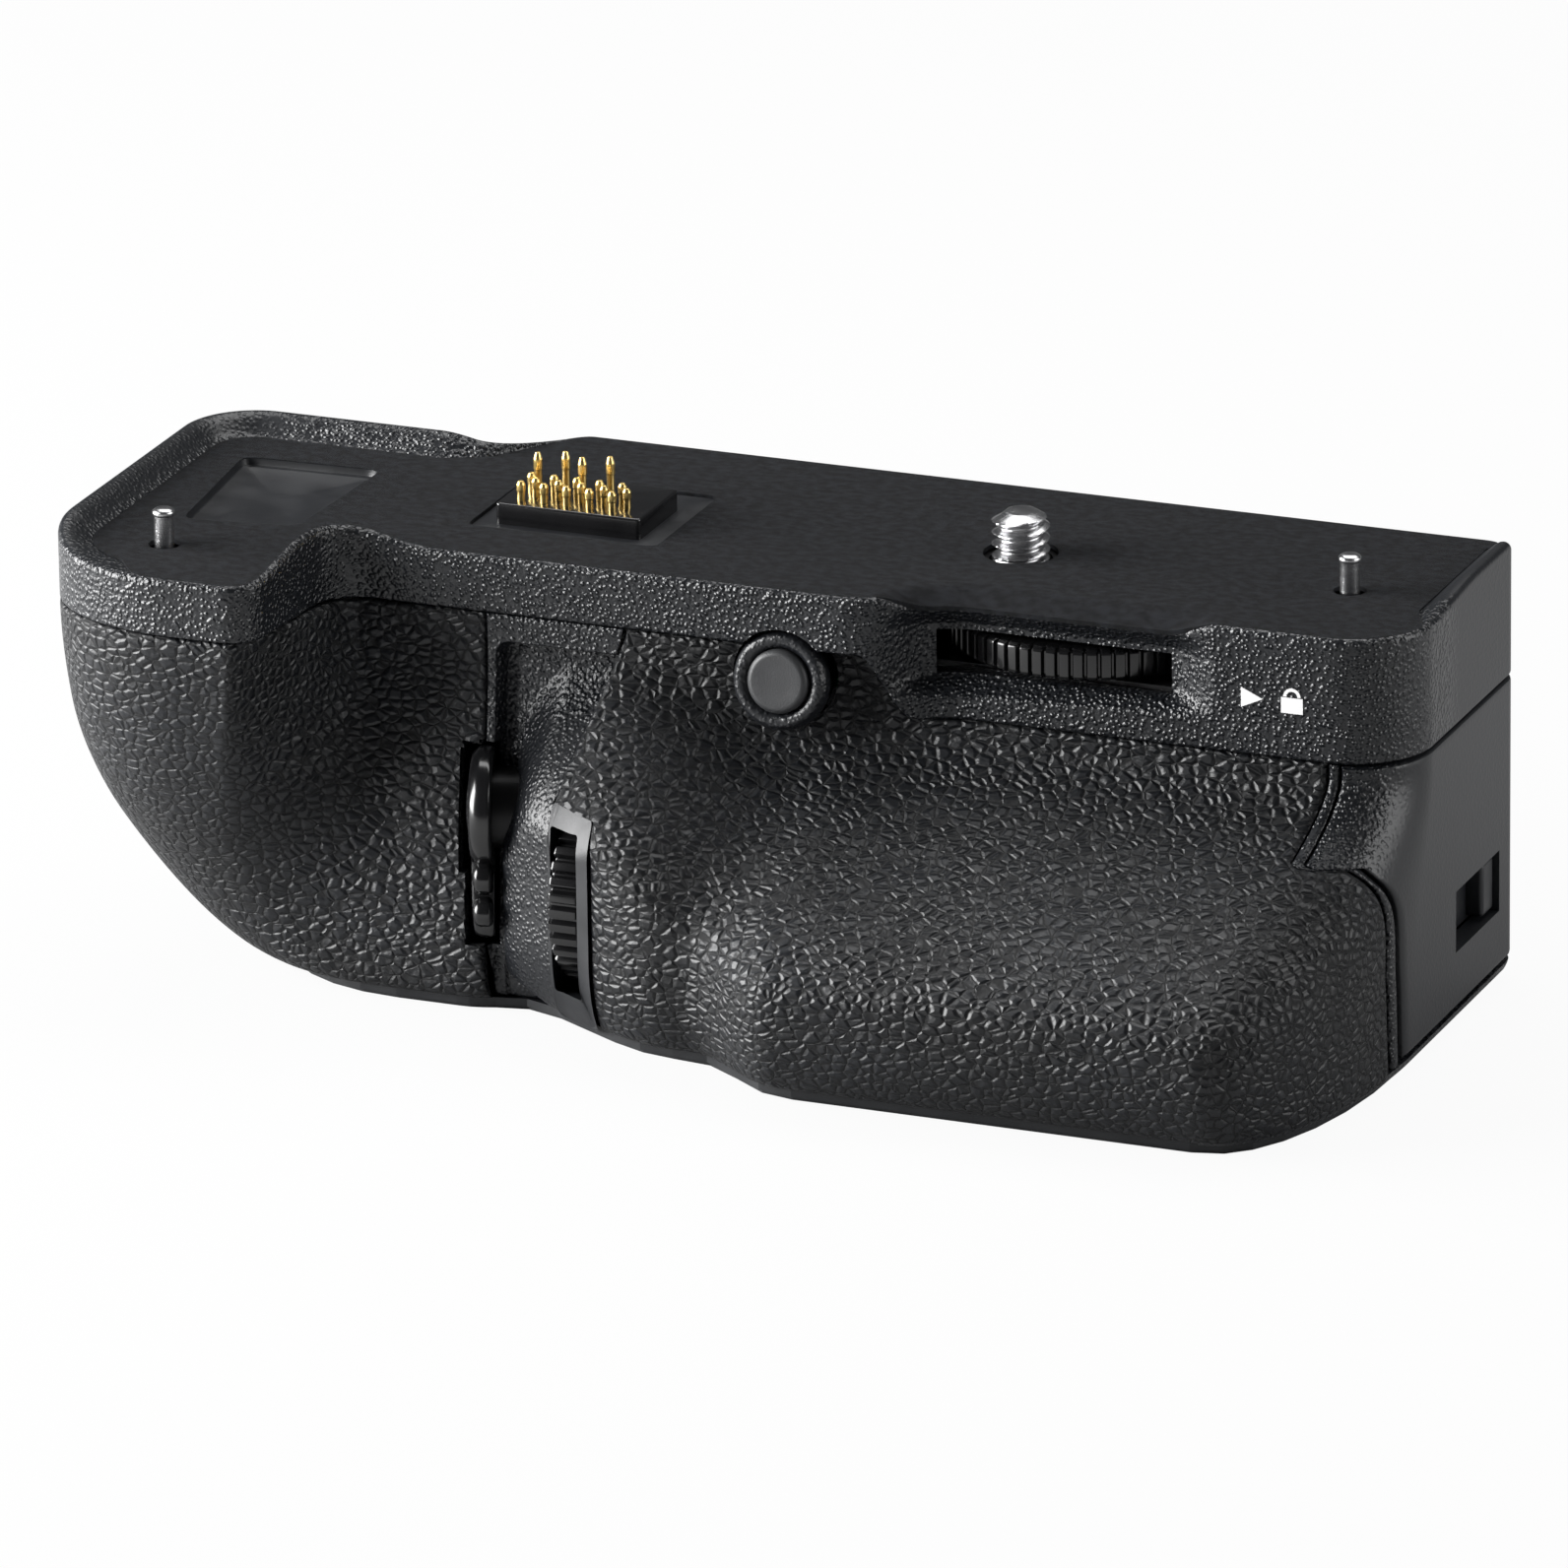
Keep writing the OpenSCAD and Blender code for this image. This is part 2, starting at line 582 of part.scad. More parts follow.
module lower_case() color(case_black) {
    front = cover + skin_gap;
    difference() {
        union() {
            wall_of_rings(
                [for (v = case_shares) case_ring(v, front, door_thick + 0.75, 0, 0)],
                [for (v = inner_shares)
                    case_ring(v, front + wall, door_thick + 2.75, door_thick + 2.75, wall)]);
            prism(body_ring(case_foot, front + wall / 2, wall, wall / 2), [case_foot + 0.3, case_foot + 1.7]);
        }
        block([panel_x[0] - 0.1, -35.1], [-60, -13], [-50, 0]);
        lever_slot();
        block([40, 60], [-7.6, 16.6], [-41.4, -14.6]);
        post(hinge_at, rear_corner + swing_gap, [-45.3, 0]);
        post(hinge_at, hinge_radius, [-50, -44]);
        translate(fn_at)
            rotate([90 - fn_tilt, 0, 0])
                cylinder(r = 4.3, h = 16, center = true);
        block([rear_dial_at[0] - 3.6, rear_dial_at[0] + 3.6], [10, 30],
            [rear_dial_at[2] - 7, rear_dial_at[2] + 7]);
        for (at = rear_buttons)
            rod_y(at, rear_button_radius + swing_gap, [10, 30]);
        rod_y([stick_at[0], stick_at[2]], 5.1, [10, 30]);
        post([0, 0], 6.1, [-50, -40]);
        for (at = base_screws_at)
            post(at, 0.9, [-50, -40]);
    }
}
// plan of the base plate, d inside its edge
function base_outline(d) = body_ring(-47.3, 0.1 + d, 0.3 + d, 0.3 + d);
module base_plate() color(case_black) {
    difference() {
        union() {
            prism(base_outline(0), [-47.5, case_foot - 0.05]);
            prism(base_outline(0.5), [bottom_z, -47.4]);
        }
        post([0, 0], 7.1, [-50, -40]);
        for (at = base_screws_at) {
            post(at, 1.1, [-50, -40]);
            post(at, 2, [-50, -47.3]);
        }
    }
}
module base_screws() color(steel) {
    for (at = base_screws_at) {
        difference() {
            post(at, 1.9, [-47.9, -47.3]);
            block([at[0] - 1.3, at[0] + 1.3], [at[1] - 0.2, at[1] + 0.2], [-48.5, -47.6]);
        }
        post(at, 0.85, [-47.4, -44]);
    }
}
module tripod_socket() color(steel) {
    difference() {
        union() {
            post([0, 0], 7, [bottom_z, case_foot]);
            post([0, 0], 6, [case_foot - 0.1, -42.2]);
        }
        post([0, 0], socket_radius, [-50, -42.8]);
    }
}
// left cover: wraps the left end, rear corner to panel seam
module left_cover() {
    rows = [seam_z - 0.1, -9, -12, -15, -18, -21, -24, -27, -30, -33, -36, -39, -42, -44.5, -45.8, case_foot];
    function line(z, d) = concat(
        [for (a = [120 : 15 : 180]) left_rear_point(a, z, d)],
        [for (a = [0 : 11.25 : 78.75]) left_point(a, z, d)],
        [for (x = front_stations(z, body_left(z) + lobe_corner[0], panel_edge(z) - 0.3))
            front_point(x, z, d)]);
    color(cover_black) difference() {
        skin([for (z = rows) at_height(line(z, 0), z)],
            [for (z = rows) at_height(line(z, cover), z)]);
        lever_slot();
    }
}
// left edge of the grip cover at height z
function grip_left(z) = z > -22.3
    ? blend(-37, -40.6, (z + 8) / -14.3)
    : blend(-40.6, -34.8, ease((-22.3 - z) / 0.6));
// how far round the right corner the grip cover goes at height z, in degrees from the front
function grip_right(z) = 32 * ease((-22.2 - z) / 0.7) + 46 * (1 - exp(min(0, z + 22.6) / 3.2));
module hump_cover() {
    down = concat([0, 0.08, 0.16, 0.21, 0.257, 0.279, 0.33, 0.394, 0.412], span(0.47, 0.82, 5),
        [0.88, 0.93, 0.97, 1]);
    stations = concat(span(-37, -14, 8), span(-12, -4, 12), [-2, 0, 5, 11, 18, 25, 32, 39]);
    across = concat([for (x = stations) (x + 37) / 95], span(0.84, 1, 5));
    function top(x) = min(seam_z - 0.1, blend(seam_z, skirt_z, ease((x + 10.8) / 5.6)) - 0.1);
    function place(u, v, d) =
        let (x0 = blend(-37, 39, min(1, u / 0.8)),
            z = blend(top(x0), case_foot, v),
            a = 90 - max(0, (u - 0.8) / 0.2) * grip_right(z),
            p = u > 0.8 ? corner_point(a, z, d)
                : front_point(blend(grip_left(z), corner_x(z) - 0.5, u / 0.8), z, d))
            [p[0], p[1], z];
    color(cover_black) difference() {
        skin([for (v = down) [for (u = across) place(u, v, 0)]],
            [for (v = down) [for (u = across) place(u, v, cover)]]);
        translate(fn_at)
            rotate([90 - fn_tilt, 0, 0])
                cylinder(r = 5.5, h = 16, center = true);
    }
}
// crowned rubber pad under the thumb
module thumb_cover() color(cover_black) {
    intersection() {
        translate([0, rear_y + cover, 0])
            rotate([90, 0, 0])
                linear_extrude(cover - 0.02)
                    polygon(rounded(box_points([-14, 37], [-43, -17]), 5));
        rod_x([rear_y + cover - 90, -30], 90, [-20, 40], $fn = 400);
    }
}
// right edge of the panel's flush strip at height z
function strip_edge(z) = min(panel_edge(z) + 1.1, -50.3);
// front face of the release panel at x and height z
function panel_front(x, z) =
    let (rim = valley_front(z) + foot_roll(z),
        recess = blend(rim, rim + recess_depth, ease((-8.6 - z) / 1)),
        swell = crest(x) + roll(6, (-38 - z) / 10.5) + roll(1.65, (nose_x + 3.6 - x) / 3.6),
        nose = blend(recess, swell, ease((-18 + 7 * ease((x + 51) / 8) - z) / 16)),
        strip = x < strip_edge(z) ? rim : recess)
        blend(strip, nose, ease((x - nose_x) / 0.35));
// moves a shape whose X axis is the release button's into place
module on_release() {
    translate(release_at)
        rotate([0, 0, release_tilt])
            children();
}
// room for the lever, its tab at rest and the button's cap
module lever_slot() {
    on_release() {
        rod_x([0, 0], lever_radius + 0.4, [-lever_half - 1.1, lever_half + 0.4]);
        block([-lever_half - 0.4, lever_half + 0.4], [-20, 5.2], [-lever_reach - 0.4, 0]);
    }
}
module release_panel() {
    rows = [seam_z - 0.15, -8.4, -9, -9.7, -12, -14.5, -17, -19.5, -22.2, -22.9, -25.5, -28.5, -31.5,
        -34.5, -36, -37.5, -39.2, -41, -43, -44.8, -46.5];
    function left_part(z) = [panel_edge(z), max(panel_edge(z), strip_edge(z) - 0.2),
        max(panel_edge(z), strip_edge(z)) + 0.2, -48.7];
    function outer_x(z) = concat(left_part(z), [-48.25, -47.85, -46.8, -45, -42.8]);
    function inner_x(z) = concat(left_part(z), [-46.3, -45.6, -44.8, -43.9, -42.4]);
    function right(z) = z > -22.3 ? grip_left(z) - 0.15 : -41.2;
    function front(x, z) = [x, panel_front(x, z), z];
    function back(x, z) = [x, max(panel_front(x, z), panel_front(x - 2.1, z)) + 2, z];
    function edge(z, k) = blend(-42.8, right(z), k);
    color(case_black) difference() {
        skin([for (z = rows) concat([for (x = outer_x(z)) front(x, z)],
                [front(edge(z, 0.5), z), front(edge(z, 1), z)])],
            [for (z = rows) concat([for (x = inner_x(z)) back(x, z)],
                [back(edge(z, 0.6), z), back(edge(z, 1), z)])]);
        on_release()
            rod_x([0, 0], release_radius + 0.45, [-12, 12]);
        lever_slot();
    }
}
// frame round the front dial
module front_bezel() {
    rows = [-22.9, -24, -26, -29, -32, -35, -38, -40.5, -42.5, -44, -45.4, -46.5];
    cols = [-41.1, -40.6, -39.2, -37.8, -36.4, -35.7, -35.2];
    function face(x, z) = crest(x) + roll(6, (-38 - z) / 10.5)
        + 3.4 * (1 - ease((-19 - z) / 8));
    color(gloss_black) difference() {
        skin([for (z = rows) [for (x = cols) [x, face(x, z) - 0.5, z]]],
            [for (z = rows) [for (x = cols) [x, face(x, z) + 1.6, z]]]);
        block([front_dial_at[0] - front_dial_width / 2 - swing_gap,
            front_dial_at[0] + front_dial_width / 2 + swing_gap], [-60, 0], [-43.6, -24.4]);
    }
}
module fn_ring() color(gloss_black) {
    translate(fn_at)
        rotate([90 - fn_tilt, 0, 0])
            difference() {
                union() {
                    cylinder(r = 4.2, h = 12, center = true);
                    translate([0, 0, -2])
                        cylinder(r = 5.3, h = 1.6);
                    translate([0, 0, -0.4])
                        cylinder(r1 = 5.3, r2 = 4.8, h = 0.4);
                }
                cylinder(r = fn_radius + 0.06, h = 30, center = true);
                cylinder(r = 8, h = 10);
            }
}
module fn_button() color([0.16, 0.16, 0.165]) {
    translate(fn_at)
        rotate([90 - fn_tilt, 0, 0]) {
            translate([0, 0, -6.4])
                cylinder(r = fn_radius, h = 6.4);
            cylinder(r1 = 2.9, r2 = 2.7, h = 0.5);
        }
}
module release_bush() color(steel) {
    on_release()
        difference() {
            rod_x([0, 0], release_radius + 0.35, [-lever_half + 0.1, 4]);
            rod_x([0, 0], release_radius + 0.06, [-3, 5]);
        }
}
module release_button() color(gloss_black) {
    on_release() {
        rod_x([0, 0], release_radius, [-1.45, 4.4]);
        translate([-1.45, 0, 0])
            rotate([0, -90, 0])
                cylinder(r1 = release_radius, r2 = release_radius - 1.4, h = 0.4);
        rod_x([0, 0], 1.2, [4.3, 8.4]);
    }
}
module power_lever() color(gloss_black) {
    on_release()
        difference() {
            union() {
                rod_x([0, 0], lever_radius, [-lever_half, lever_half]);
                rotate([-10, 0, 0])
                    block([0.2 - lever_half, lever_half], [-2.5, 2.5], [-lever_reach, -5]);
            }
            rod_x([0, 0], release_radius + 0.41, [-3, 3]);
        }
}
// ribbed dial about X with a bore
module dial(at, r, width, ribs, bore) {
    translate([at[0] - width / 2, at[1], at[2]])
        rotate([0, 90, 0])
            difference() {
                linear_extrude(width)
                    polygon(ribbed(r, ribs, 0.45));
                translate([0, 0, -1])
                    cylinder(r = bore, h = width + 2);
            }
}
module front_dial() color(gloss_black) {
    dial(front_dial_at, front_dial_radius, front_dial_width, dial_ribs, 1.56);
}
module front_axle() color(steel) {
    rod_x([front_dial_at[1], front_dial_at[2]], 1.5, [front_dial_at[0] - 2.2, front_dial_at[0] + 4]);
    block([front_dial_at[0] + 2.8, front_dial_at[0] + 4],
        [front_dial_at[1] - 2.5, front_dial_at[1] + 16], [front_dial_at[2] - 3, front_dial_at[2] + 3]);
}
module rear_dial() color(gloss_black) {
    dial(rear_dial_at, rear_dial_radius, rear_dial_width, 34, 1.56);
}
module rear_axle() color(steel) {
    rod_x([rear_dial_at[1], rear_dial_at[2]], 1.5, [rear_dial_at[0] - 4.2, rear_dial_at[0] + 4.2]);
    for (side = [-1, 1])
        translate([side * 3.7, 0, 0])
            block([rear_dial_at[0] - 0.5, rear_dial_at[0] + 0.5],
                [0, rear_dial_at[1] + 2.5], [rear_dial_at[2] - 2.5, rear_dial_at[2] + 2.5]);
}
module rear_bezel() color(gloss_black) {
    difference() {
        prism_y(rounded(box_points([rear_dial_at[0] - 5, rear_dial_at[0] + 5],
            [rear_dial_at[2] - 8.4, rear_dial_at[2] + 8.4]), 2), [rear_y + 0.02, rear_y + 0.6]);
        block([rear_dial_at[0] - 2.9, rear_dial_at[0] + 2.9], [10, 30],
            [rear_dial_at[2] - 6, rear_dial_at[2] + 6]);
    }
}
module rear_button(at) {
    rod_y(at, rear_button_radius, [16.4, rear_y + 0.5]);
    translate([at[0], rear_y + 0.5, at[1]])
        rotate([-90, 0, 0])
            cylinder(r1 = rear_button_radius, r2 = rear_button_radius - 0.5, h = 0.4);
}
module rear_button_a() color([0.13, 0.13, 0.135]) {
    rear_button(rear_buttons[0]);
}
module rear_button_b() color([0.13, 0.13, 0.135]) {
    rear_button(rear_buttons[1]);
}
module stick_ring() color(gloss_black) {
    difference() {
        union() {
            rod_y([stick_at[0], stick_at[2]], 5, [18.9, rear_y + 0.3]);
            rod_y([stick_at[0], stick_at[2]], 5.8, [rear_y + 0.02, rear_y + 0.8]);
        }
        rod_y([stick_at[0], stick_at[2]], 4.3, [10, 30]);
    }
}
// cup with two ears for the gimbal's pivots
module stick_base() color([0.2, 0.2, 0.2]) {
    translate(stick_at)
        difference() {
            block([-6, 6], [-5, 2], [-5, 5]);
            block([-4.6, 4.6], [-3.8, 3], [-6, 6]);
            rod_x([0, 0], 0.65, [-8, 8]);
        }
}
module stick_gimbal() color(steel) {
    translate(stick_at)
        difference() {
            union() {
                rod_y([0, 0], 3.6, [-1, 1]);
                rod_x([0, 0], 0.6, [-5.8, 5.8]);
            }
            rod_y([0, 0], 2.4, [-3, 3]);
            post([0, 0], 0.56, [-5, 5]);
        }
}
module stick_cap() color([0.12, 0.12, 0.12]) {
    translate(stick_at) {
        rod_y([0, 0], 1.1, [-2, 6.5]);
        post([0, 0], 0.5, [-3.4, 3.4]);
        rod_y([0, 0], 2.6, [6.4, 7.6]);
        translate([0, 7.6, 0])
            rotate([-90, 0, 0])
                cylinder(r1 = 2.6, r2 = 2, h = 0.6);
    }
}
module battery_sleeve() color([0.12, 0.12, 0.12]) {
    difference() {
        block(sleeve_x, sleeve_y, sleeve_z);
        block([sleeve_x[0] + 1.4, sleeve_x[1] + 1], [sleeve_y[0] + 1.4, sleeve_y[1] - 1.4],
            [sleeve_z[0] + 1.4, sleeve_z[1] - 1.4]);
    }
}
module battery_pack() color([0.2, 0.2, 0.21]) {
    difference() {
        prism_x(rounded(box_points([sleeve_y[0] + 1.8, sleeve_y[1] - 1.8],
            [sleeve_z[0] + 1.8, sleeve_z[1] - 1.8]), 2), [sleeve_x[0] + 4, sleeve_x[1] - 0.4]);
        for (i = [0 : 3])
            block([sleeve_x[0] + 3, sleeve_x[0] + 7], [-3.4 + 4 * i, -2.2 + 4 * i], [-40, -33]);
    }
}
module battery_terminal() color(gloss_black) {
    block([sleeve_x[0] + 1.45, sleeve_x[0] + 3.6], [-5.6, 11.6], [-40.4, -32]);
}
module terminal_blades() color(gold) {
    for (i = [0 : 3])
        block([sleeve_x[0] + 3.6, sleeve_x[0] + 6.6], [-3.1 + 4 * i, -2.5 + 4 * i], [-39.4, -34]);
}
module main_board() color([0.05, 0.2, 0.1]) {
    difference() {
        prism(rounded(box_points([-56, -14], [-16.6, 16.6]), 2), [-5.4, -4.2]);
        for (at = [[-54, 0], [-16, 14]])
            post(at, 1.2, [-7, -3]);
    }
}
// small boards that carry the switches behind the buttons
module switch_boards() color([0.05, 0.2, 0.1]) {
    block([-41.6, -40.8], [switch_y - 2.4, switch_y + 14], [release_at[2] - 4, release_at[2] + 4]);
    block([fn_at[0] - 6, fn_at[0] + 6], [-11.6, -10.8], [-13.2, -6.6]);
    block([-31.8, -20.8], [12.2, 13], [-24.5, -11]);
    block([-28.4, -20.8], [12.2, 13], [-31, -24.4]);
}
module tact_switches() color([0.25, 0.25, 0.25]) {
    block([-41.8, -41.6], [switch_y - 2, switch_y + 2], [release_at[2] - 2, release_at[2] + 2]);
    block([fn_at[0] - 2, fn_at[0] + 2], [-12.8, -11.6], [-10.6, -7.4]);
    for (at = rear_buttons)
        block([at[0] - 2, at[0] + 2], [13, 15.4], [at[1] - 2, at[1] + 2]);
}
module hinge_pin() color(steel) {
    post(hinge_at, hinge_radius, [-46.5, -8.2]);
}
module lock_dial() color(gloss_black) {
    translate([lock_at[0], lock_at[1], lock_z[0]])
        difference() {
            linear_extrude(lock_z[1] - lock_z[0])
                polygon(ribbed(lock_radius, lock_ribs, 0.4));
            translate([0, 0, 0.9])
                rotate(180 + mesh_angle)
                    linear_extrude(5)
                        polygon(toothed(ring_teeth, gear_module * ring_teeth / 2 - 0.5,
                            gear_module * ring_teeth / 2 + 0.72, 0.72, 0.44));
            translate([0, 0, -1])
                cylinder(r = 2.06, h = 4);
        }
}
module mount_screw() color(steel) {
    post([0, 0], screw_radius + shoulder, [-7.3, -0.6]);
    post([0, 0], screw_radius, [-0.7, screw_height - 0.8]);
    translate([0, 0, screw_height - 0.8])
        cylinder(r1 = screw_radius, r2 = screw_radius - 0.8, h = 0.8);
    post([0, 0], 4, [-5, -4.5]);
}
module screw_pinion() color([0.7, 0.6, 0.35]) {
    difference() {
        translate([0, 0, -7.3])
            rotate(180 + mesh_angle)
                linear_extrude(2.2)
                    polygon(toothed(pinion_teeth, gear_module * pinion_teeth / 2 - 0.62,
                        gear_module * pinion_teeth / 2 + 0.5, 0.62, 0.22));
        post([0, 0], screw_radius + shoulder, [-9, 0]);
    }
}
// angle round the right corner where the door starts at height z
function door_start(z) = 90 - grip_right(z) - blend(11, 6.5, ease((-21.5 - z) / 3));
module battery_door() {
    rows = [skirt_z - swing_gap, -17, -19.5, -22.1, -23, -24, -25.5, -27.5, -30, -32.1, -35, -38.9, -42, -44,
        -45.1];
    function line(z, d) = concat(
        [for (k = span(0, 1, 8)) corner_point(blend(door_start(z), 0, k), z, d)],
        [for (y = [latch_y[0], latch_y[1], hinge_at[1]]) [right_x - foot_roll(z) - d, y]]);
    color([0.09, 0.09, 0.095]) difference() {
        union() {
            skin([for (z = rows) at_height(line(z, 0), z)],
                [for (z = rows) at_height(line(z, door_thick), z)]);
            post(hinge_at, rear_corner, [-45.1, skirt_z - swing_gap]);
            for (z = [latch_z[0] - 1.6, latch_z[1] + 0.4])
                block([right_x - 3.8, right_x - 2], [-2, latch_y[1] - 1.4], [z, z + 1.2]);
        }
        post(hinge_at, hinge_radius + 0.06, [-50, 0]);
        block([40, 60], latch_y, latch_z);
    }
}
module door_latch() color(gloss_black) {
    block([right_x - 3.6, right_x - 2.5], [-1, 12.2], [latch_z[0], latch_z[1]]);
    block([right_x - 2.6, right_x - 0.5], [latch_y[1] - 3.8, latch_y[1] - 0.4],
        [latch_z[0] + 0.4, latch_z[1] - 0.4]);
}

top_case();
deck_pad();
connector_plate();
connector_block();
contacts_tall();
contacts_short();
guide_pins();
screw_bush();
lock_plate();
plate_screws();
lock_marks();
lower_case();
left_cover();
hump_cover();
thumb_cover();
release_panel();
front_bezel();
fn_ring();
release_bush();
rear_bezel();
stick_ring();
stick_base();
base_plate();
base_screws();
tripod_socket();
battery_sleeve();
battery_pack();
battery_terminal();
terminal_blades();
main_board();
switch_boards();
tact_switches();
front_axle();
rear_axle();
hinge_pin();
lock_dial();
mount_screw();
screw_pinion();
front_dial();
rear_dial();
release_button();
power_lever();
fn_button();
rear_button_a();
rear_button_b();
stick_gimbal();
stick_cap();
battery_door();
door_latch();
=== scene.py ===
"""Looks of a camera battery grip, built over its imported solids.

Shapes are worked out in millimetres in the part's own frame: +X towards the battery door,
+Y to the rear, +Z up, with the origin where the camera screw's axis crosses the deck.
"""

import json
import math

import bmesh
import bpy
import numpy as np
from bpy.props import FloatProperty, FloatVectorProperty, IntProperty, PointerProperty
from mathutils import Matrix, Vector
from mathutils.geometry import delaunay_2d_cdt


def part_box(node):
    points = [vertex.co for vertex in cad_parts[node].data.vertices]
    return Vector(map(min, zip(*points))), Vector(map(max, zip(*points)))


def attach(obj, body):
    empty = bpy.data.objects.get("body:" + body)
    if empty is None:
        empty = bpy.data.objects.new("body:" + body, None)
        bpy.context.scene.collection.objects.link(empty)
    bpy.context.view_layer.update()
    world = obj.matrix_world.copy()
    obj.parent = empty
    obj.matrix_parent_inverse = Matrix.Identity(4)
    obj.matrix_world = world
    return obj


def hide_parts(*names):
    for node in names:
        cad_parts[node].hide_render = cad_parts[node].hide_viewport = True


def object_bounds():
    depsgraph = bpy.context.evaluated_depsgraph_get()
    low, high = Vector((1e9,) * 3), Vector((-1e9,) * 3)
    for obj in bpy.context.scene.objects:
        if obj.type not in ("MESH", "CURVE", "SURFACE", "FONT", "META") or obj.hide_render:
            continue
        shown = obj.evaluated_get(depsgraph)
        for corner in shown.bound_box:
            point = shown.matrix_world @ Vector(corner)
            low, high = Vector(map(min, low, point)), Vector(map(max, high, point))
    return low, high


bl_info = {
    "name": "Camera battery grip",
    "version": (1, 0, 0),
    "blender": (4, 5, 0),
    "location": "3D View > Sidebar > Grip",
    "description": "Builds the looks of a camera battery grip over its solids",
    "category": "Object",
}

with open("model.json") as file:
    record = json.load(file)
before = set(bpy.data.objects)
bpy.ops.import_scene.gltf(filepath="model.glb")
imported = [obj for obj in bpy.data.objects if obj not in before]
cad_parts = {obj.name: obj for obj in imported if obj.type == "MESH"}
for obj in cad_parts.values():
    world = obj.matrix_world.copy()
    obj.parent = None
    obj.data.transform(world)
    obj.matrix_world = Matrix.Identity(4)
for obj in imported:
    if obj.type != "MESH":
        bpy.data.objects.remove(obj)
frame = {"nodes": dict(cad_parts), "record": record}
CAD_BOX = [list(corner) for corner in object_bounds()]
MM = 0.001


def node_box(node):
    """Lowest and highest corner of a solid, in millimetres."""
    low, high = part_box(node)
    return np.array(low) / MM, np.array(high) / MM


# Main planes of the case, read from its solids
BAND_LOW, BAND_HIGH = node_box("top_case")
LEFT, LOBE, SKIRT_Z = BAND_LOW
RIGHT, REAR, LIP = BAND_HIGH
SEAM_Z = node_box("left_cover")[1][2] + 0.1
FOOT_Z = node_box("base_plate")[0][2]
CASE_FOOT = node_box("lower_case")[0][2]
# Front of the band in the middle and round the lock dial, front of the case at the foot
CENTRE, SKIRT, FOOT = -20.2, -15.2, -29.0
# Forward reach of the hand grip
HUMP = -44.8
# Rear face behind the left lobe
REAR_LEFT = 11.7
# Plan of the left lobe: front corner radii, flank rounds, x of the flank, rear corner radius
LOBE_CORNER = (17.0, 12.5)
LOBE_ROUND = (3.9, 5.0)
LOBE_FLANK = LEFT + 27.2
LOBE_REAR = 8.0
# Band corner at the front right, rear right corner, which is the hinge barrel too
BAND_CORNER = 8.7
REAR_CORNER = 3.7
HINGE = np.array([RIGHT - REAR_CORNER, REAR - REAR_CORNER])
# Stretches of x where the band steps back and the rear steps forward
STEP_FALL = (-12.8, 0.2)
REAR_FALL = (-66.8, -56.8)
# Thickness of the rubber covers and of the door
COVER, DOOR = 1.2, 2.2
# Left face of the nose that carries the release button
NOSE = -48.2
# Release button: middle of its lever, outward axis, and angle of the lever's tab up from the front
RELEASE = np.array([-51.2, -24.6, -26.3])
RELEASE_AXIS = np.array([-math.cos(math.radians(18)), -math.sin(math.radians(18)), 0])
TAB = math.radians(-80)
# Radius of the hole in the nose's left wall behind the release button
BUTTON_HOLE = 2.85
# Outer radius, half thickness and reach of the lever
LEVER, LEVER_HALF, LEVER_REACH = 6.5, 1.25, 13.9
# Function button: centre, and radius of the hole for its ring
FN = np.array([-19.2, -20.9, -9.8])
FN_HOLE = 5.45
# Lower end of the rubber covers
COVER_FOOT = CASE_FOOT


def ease(t):
    """Eased step from 0 to 1: 3t^2 - 2t^3 with t held between 0 and 1."""
    u = np.clip(t, 0, 1)
    return u * u * (3 - 2 * u)


def blend(a, b, t):
    """Straight mix of a and b."""
    return a + (b - a) * t


def ramp(t):
    """Straight ramp from 0 to 1 with slightly rounded ends."""
    u = np.clip(t, 0, 1)
    return blend(u, ease(u), 0.4)


def roll(depth, t):
    """Depth by which a rounded edge has turned under at share t: depth (1 - sqrt(1 - t^2))."""
    u = np.clip(t, 0, 0.999)
    return depth * (1 - np.sqrt(1 - u * u))


def arc(centre, radius, start, end, steps):
    """Points on a circle between two angles in degrees."""
    a = np.radians(np.linspace(start, end, steps))
    return np.array(centre) + radius * np.stack([np.cos(a), np.sin(a)], 1)


def resample(line, count):
    """Closed line cut into count points, evenly spaced by length."""
    ring = np.vstack([line, line[:1]])
    length = np.concatenate([[0], np.cumsum(np.linalg.norm(np.diff(ring, axis=0), axis=1))])
    at = np.linspace(0, length[-1], count, endpoint=False)
    return np.stack([np.interp(at, length, ring[:, k]) for k in range(ring.shape[1])], 1)


def inward(line):
    """Unit normals of a closed anticlockwise line, towards its inside."""
    along = np.roll(line, -1, 0) - np.roll(line, 1, 0)
    along = along / np.linalg.norm(along, axis=1, keepdims=True)
    return np.stack([-along[:, 1], along[:, 0]], 1)


def box_outline(low, high, radius, steps=9):
    """Rectangle with rounded corners, anticlockwise from the lower left."""
    (x0, y0), (x1, y1) = low, high
    r = radius
    return np.vstack([
        arc((x0 + r, y0 + r), r, 180, 270, steps), arc((x1 - r, y0 + r), r, 270, 360, steps),
        arc((x1 - r, y1 - r), r, 0, 90, steps), arc((x0 + r, y1 - r), r, 90, 180, steps)])


def seam(x):
    """Height of the band's lower edge: low at the right, high at the left, eased between."""
    return blend(SEAM_Z, SKIRT_Z, ease((x + 10.8) / 5.6))


def down(z):
    """Share of the way from the band's seam to the foot, eased."""
    return ease((SEAM_Z - z) / 38.7)


def foot_roll(z):
    """Inward roll of the plain faces at the foot."""
    return roll(3, (FOOT_Z + 3.2 - z) / 3.2)


def hump_roll(z):
    """Inward roll of the hand grip at the foot."""
    return roll(6, (-38 - z) / 10.5)


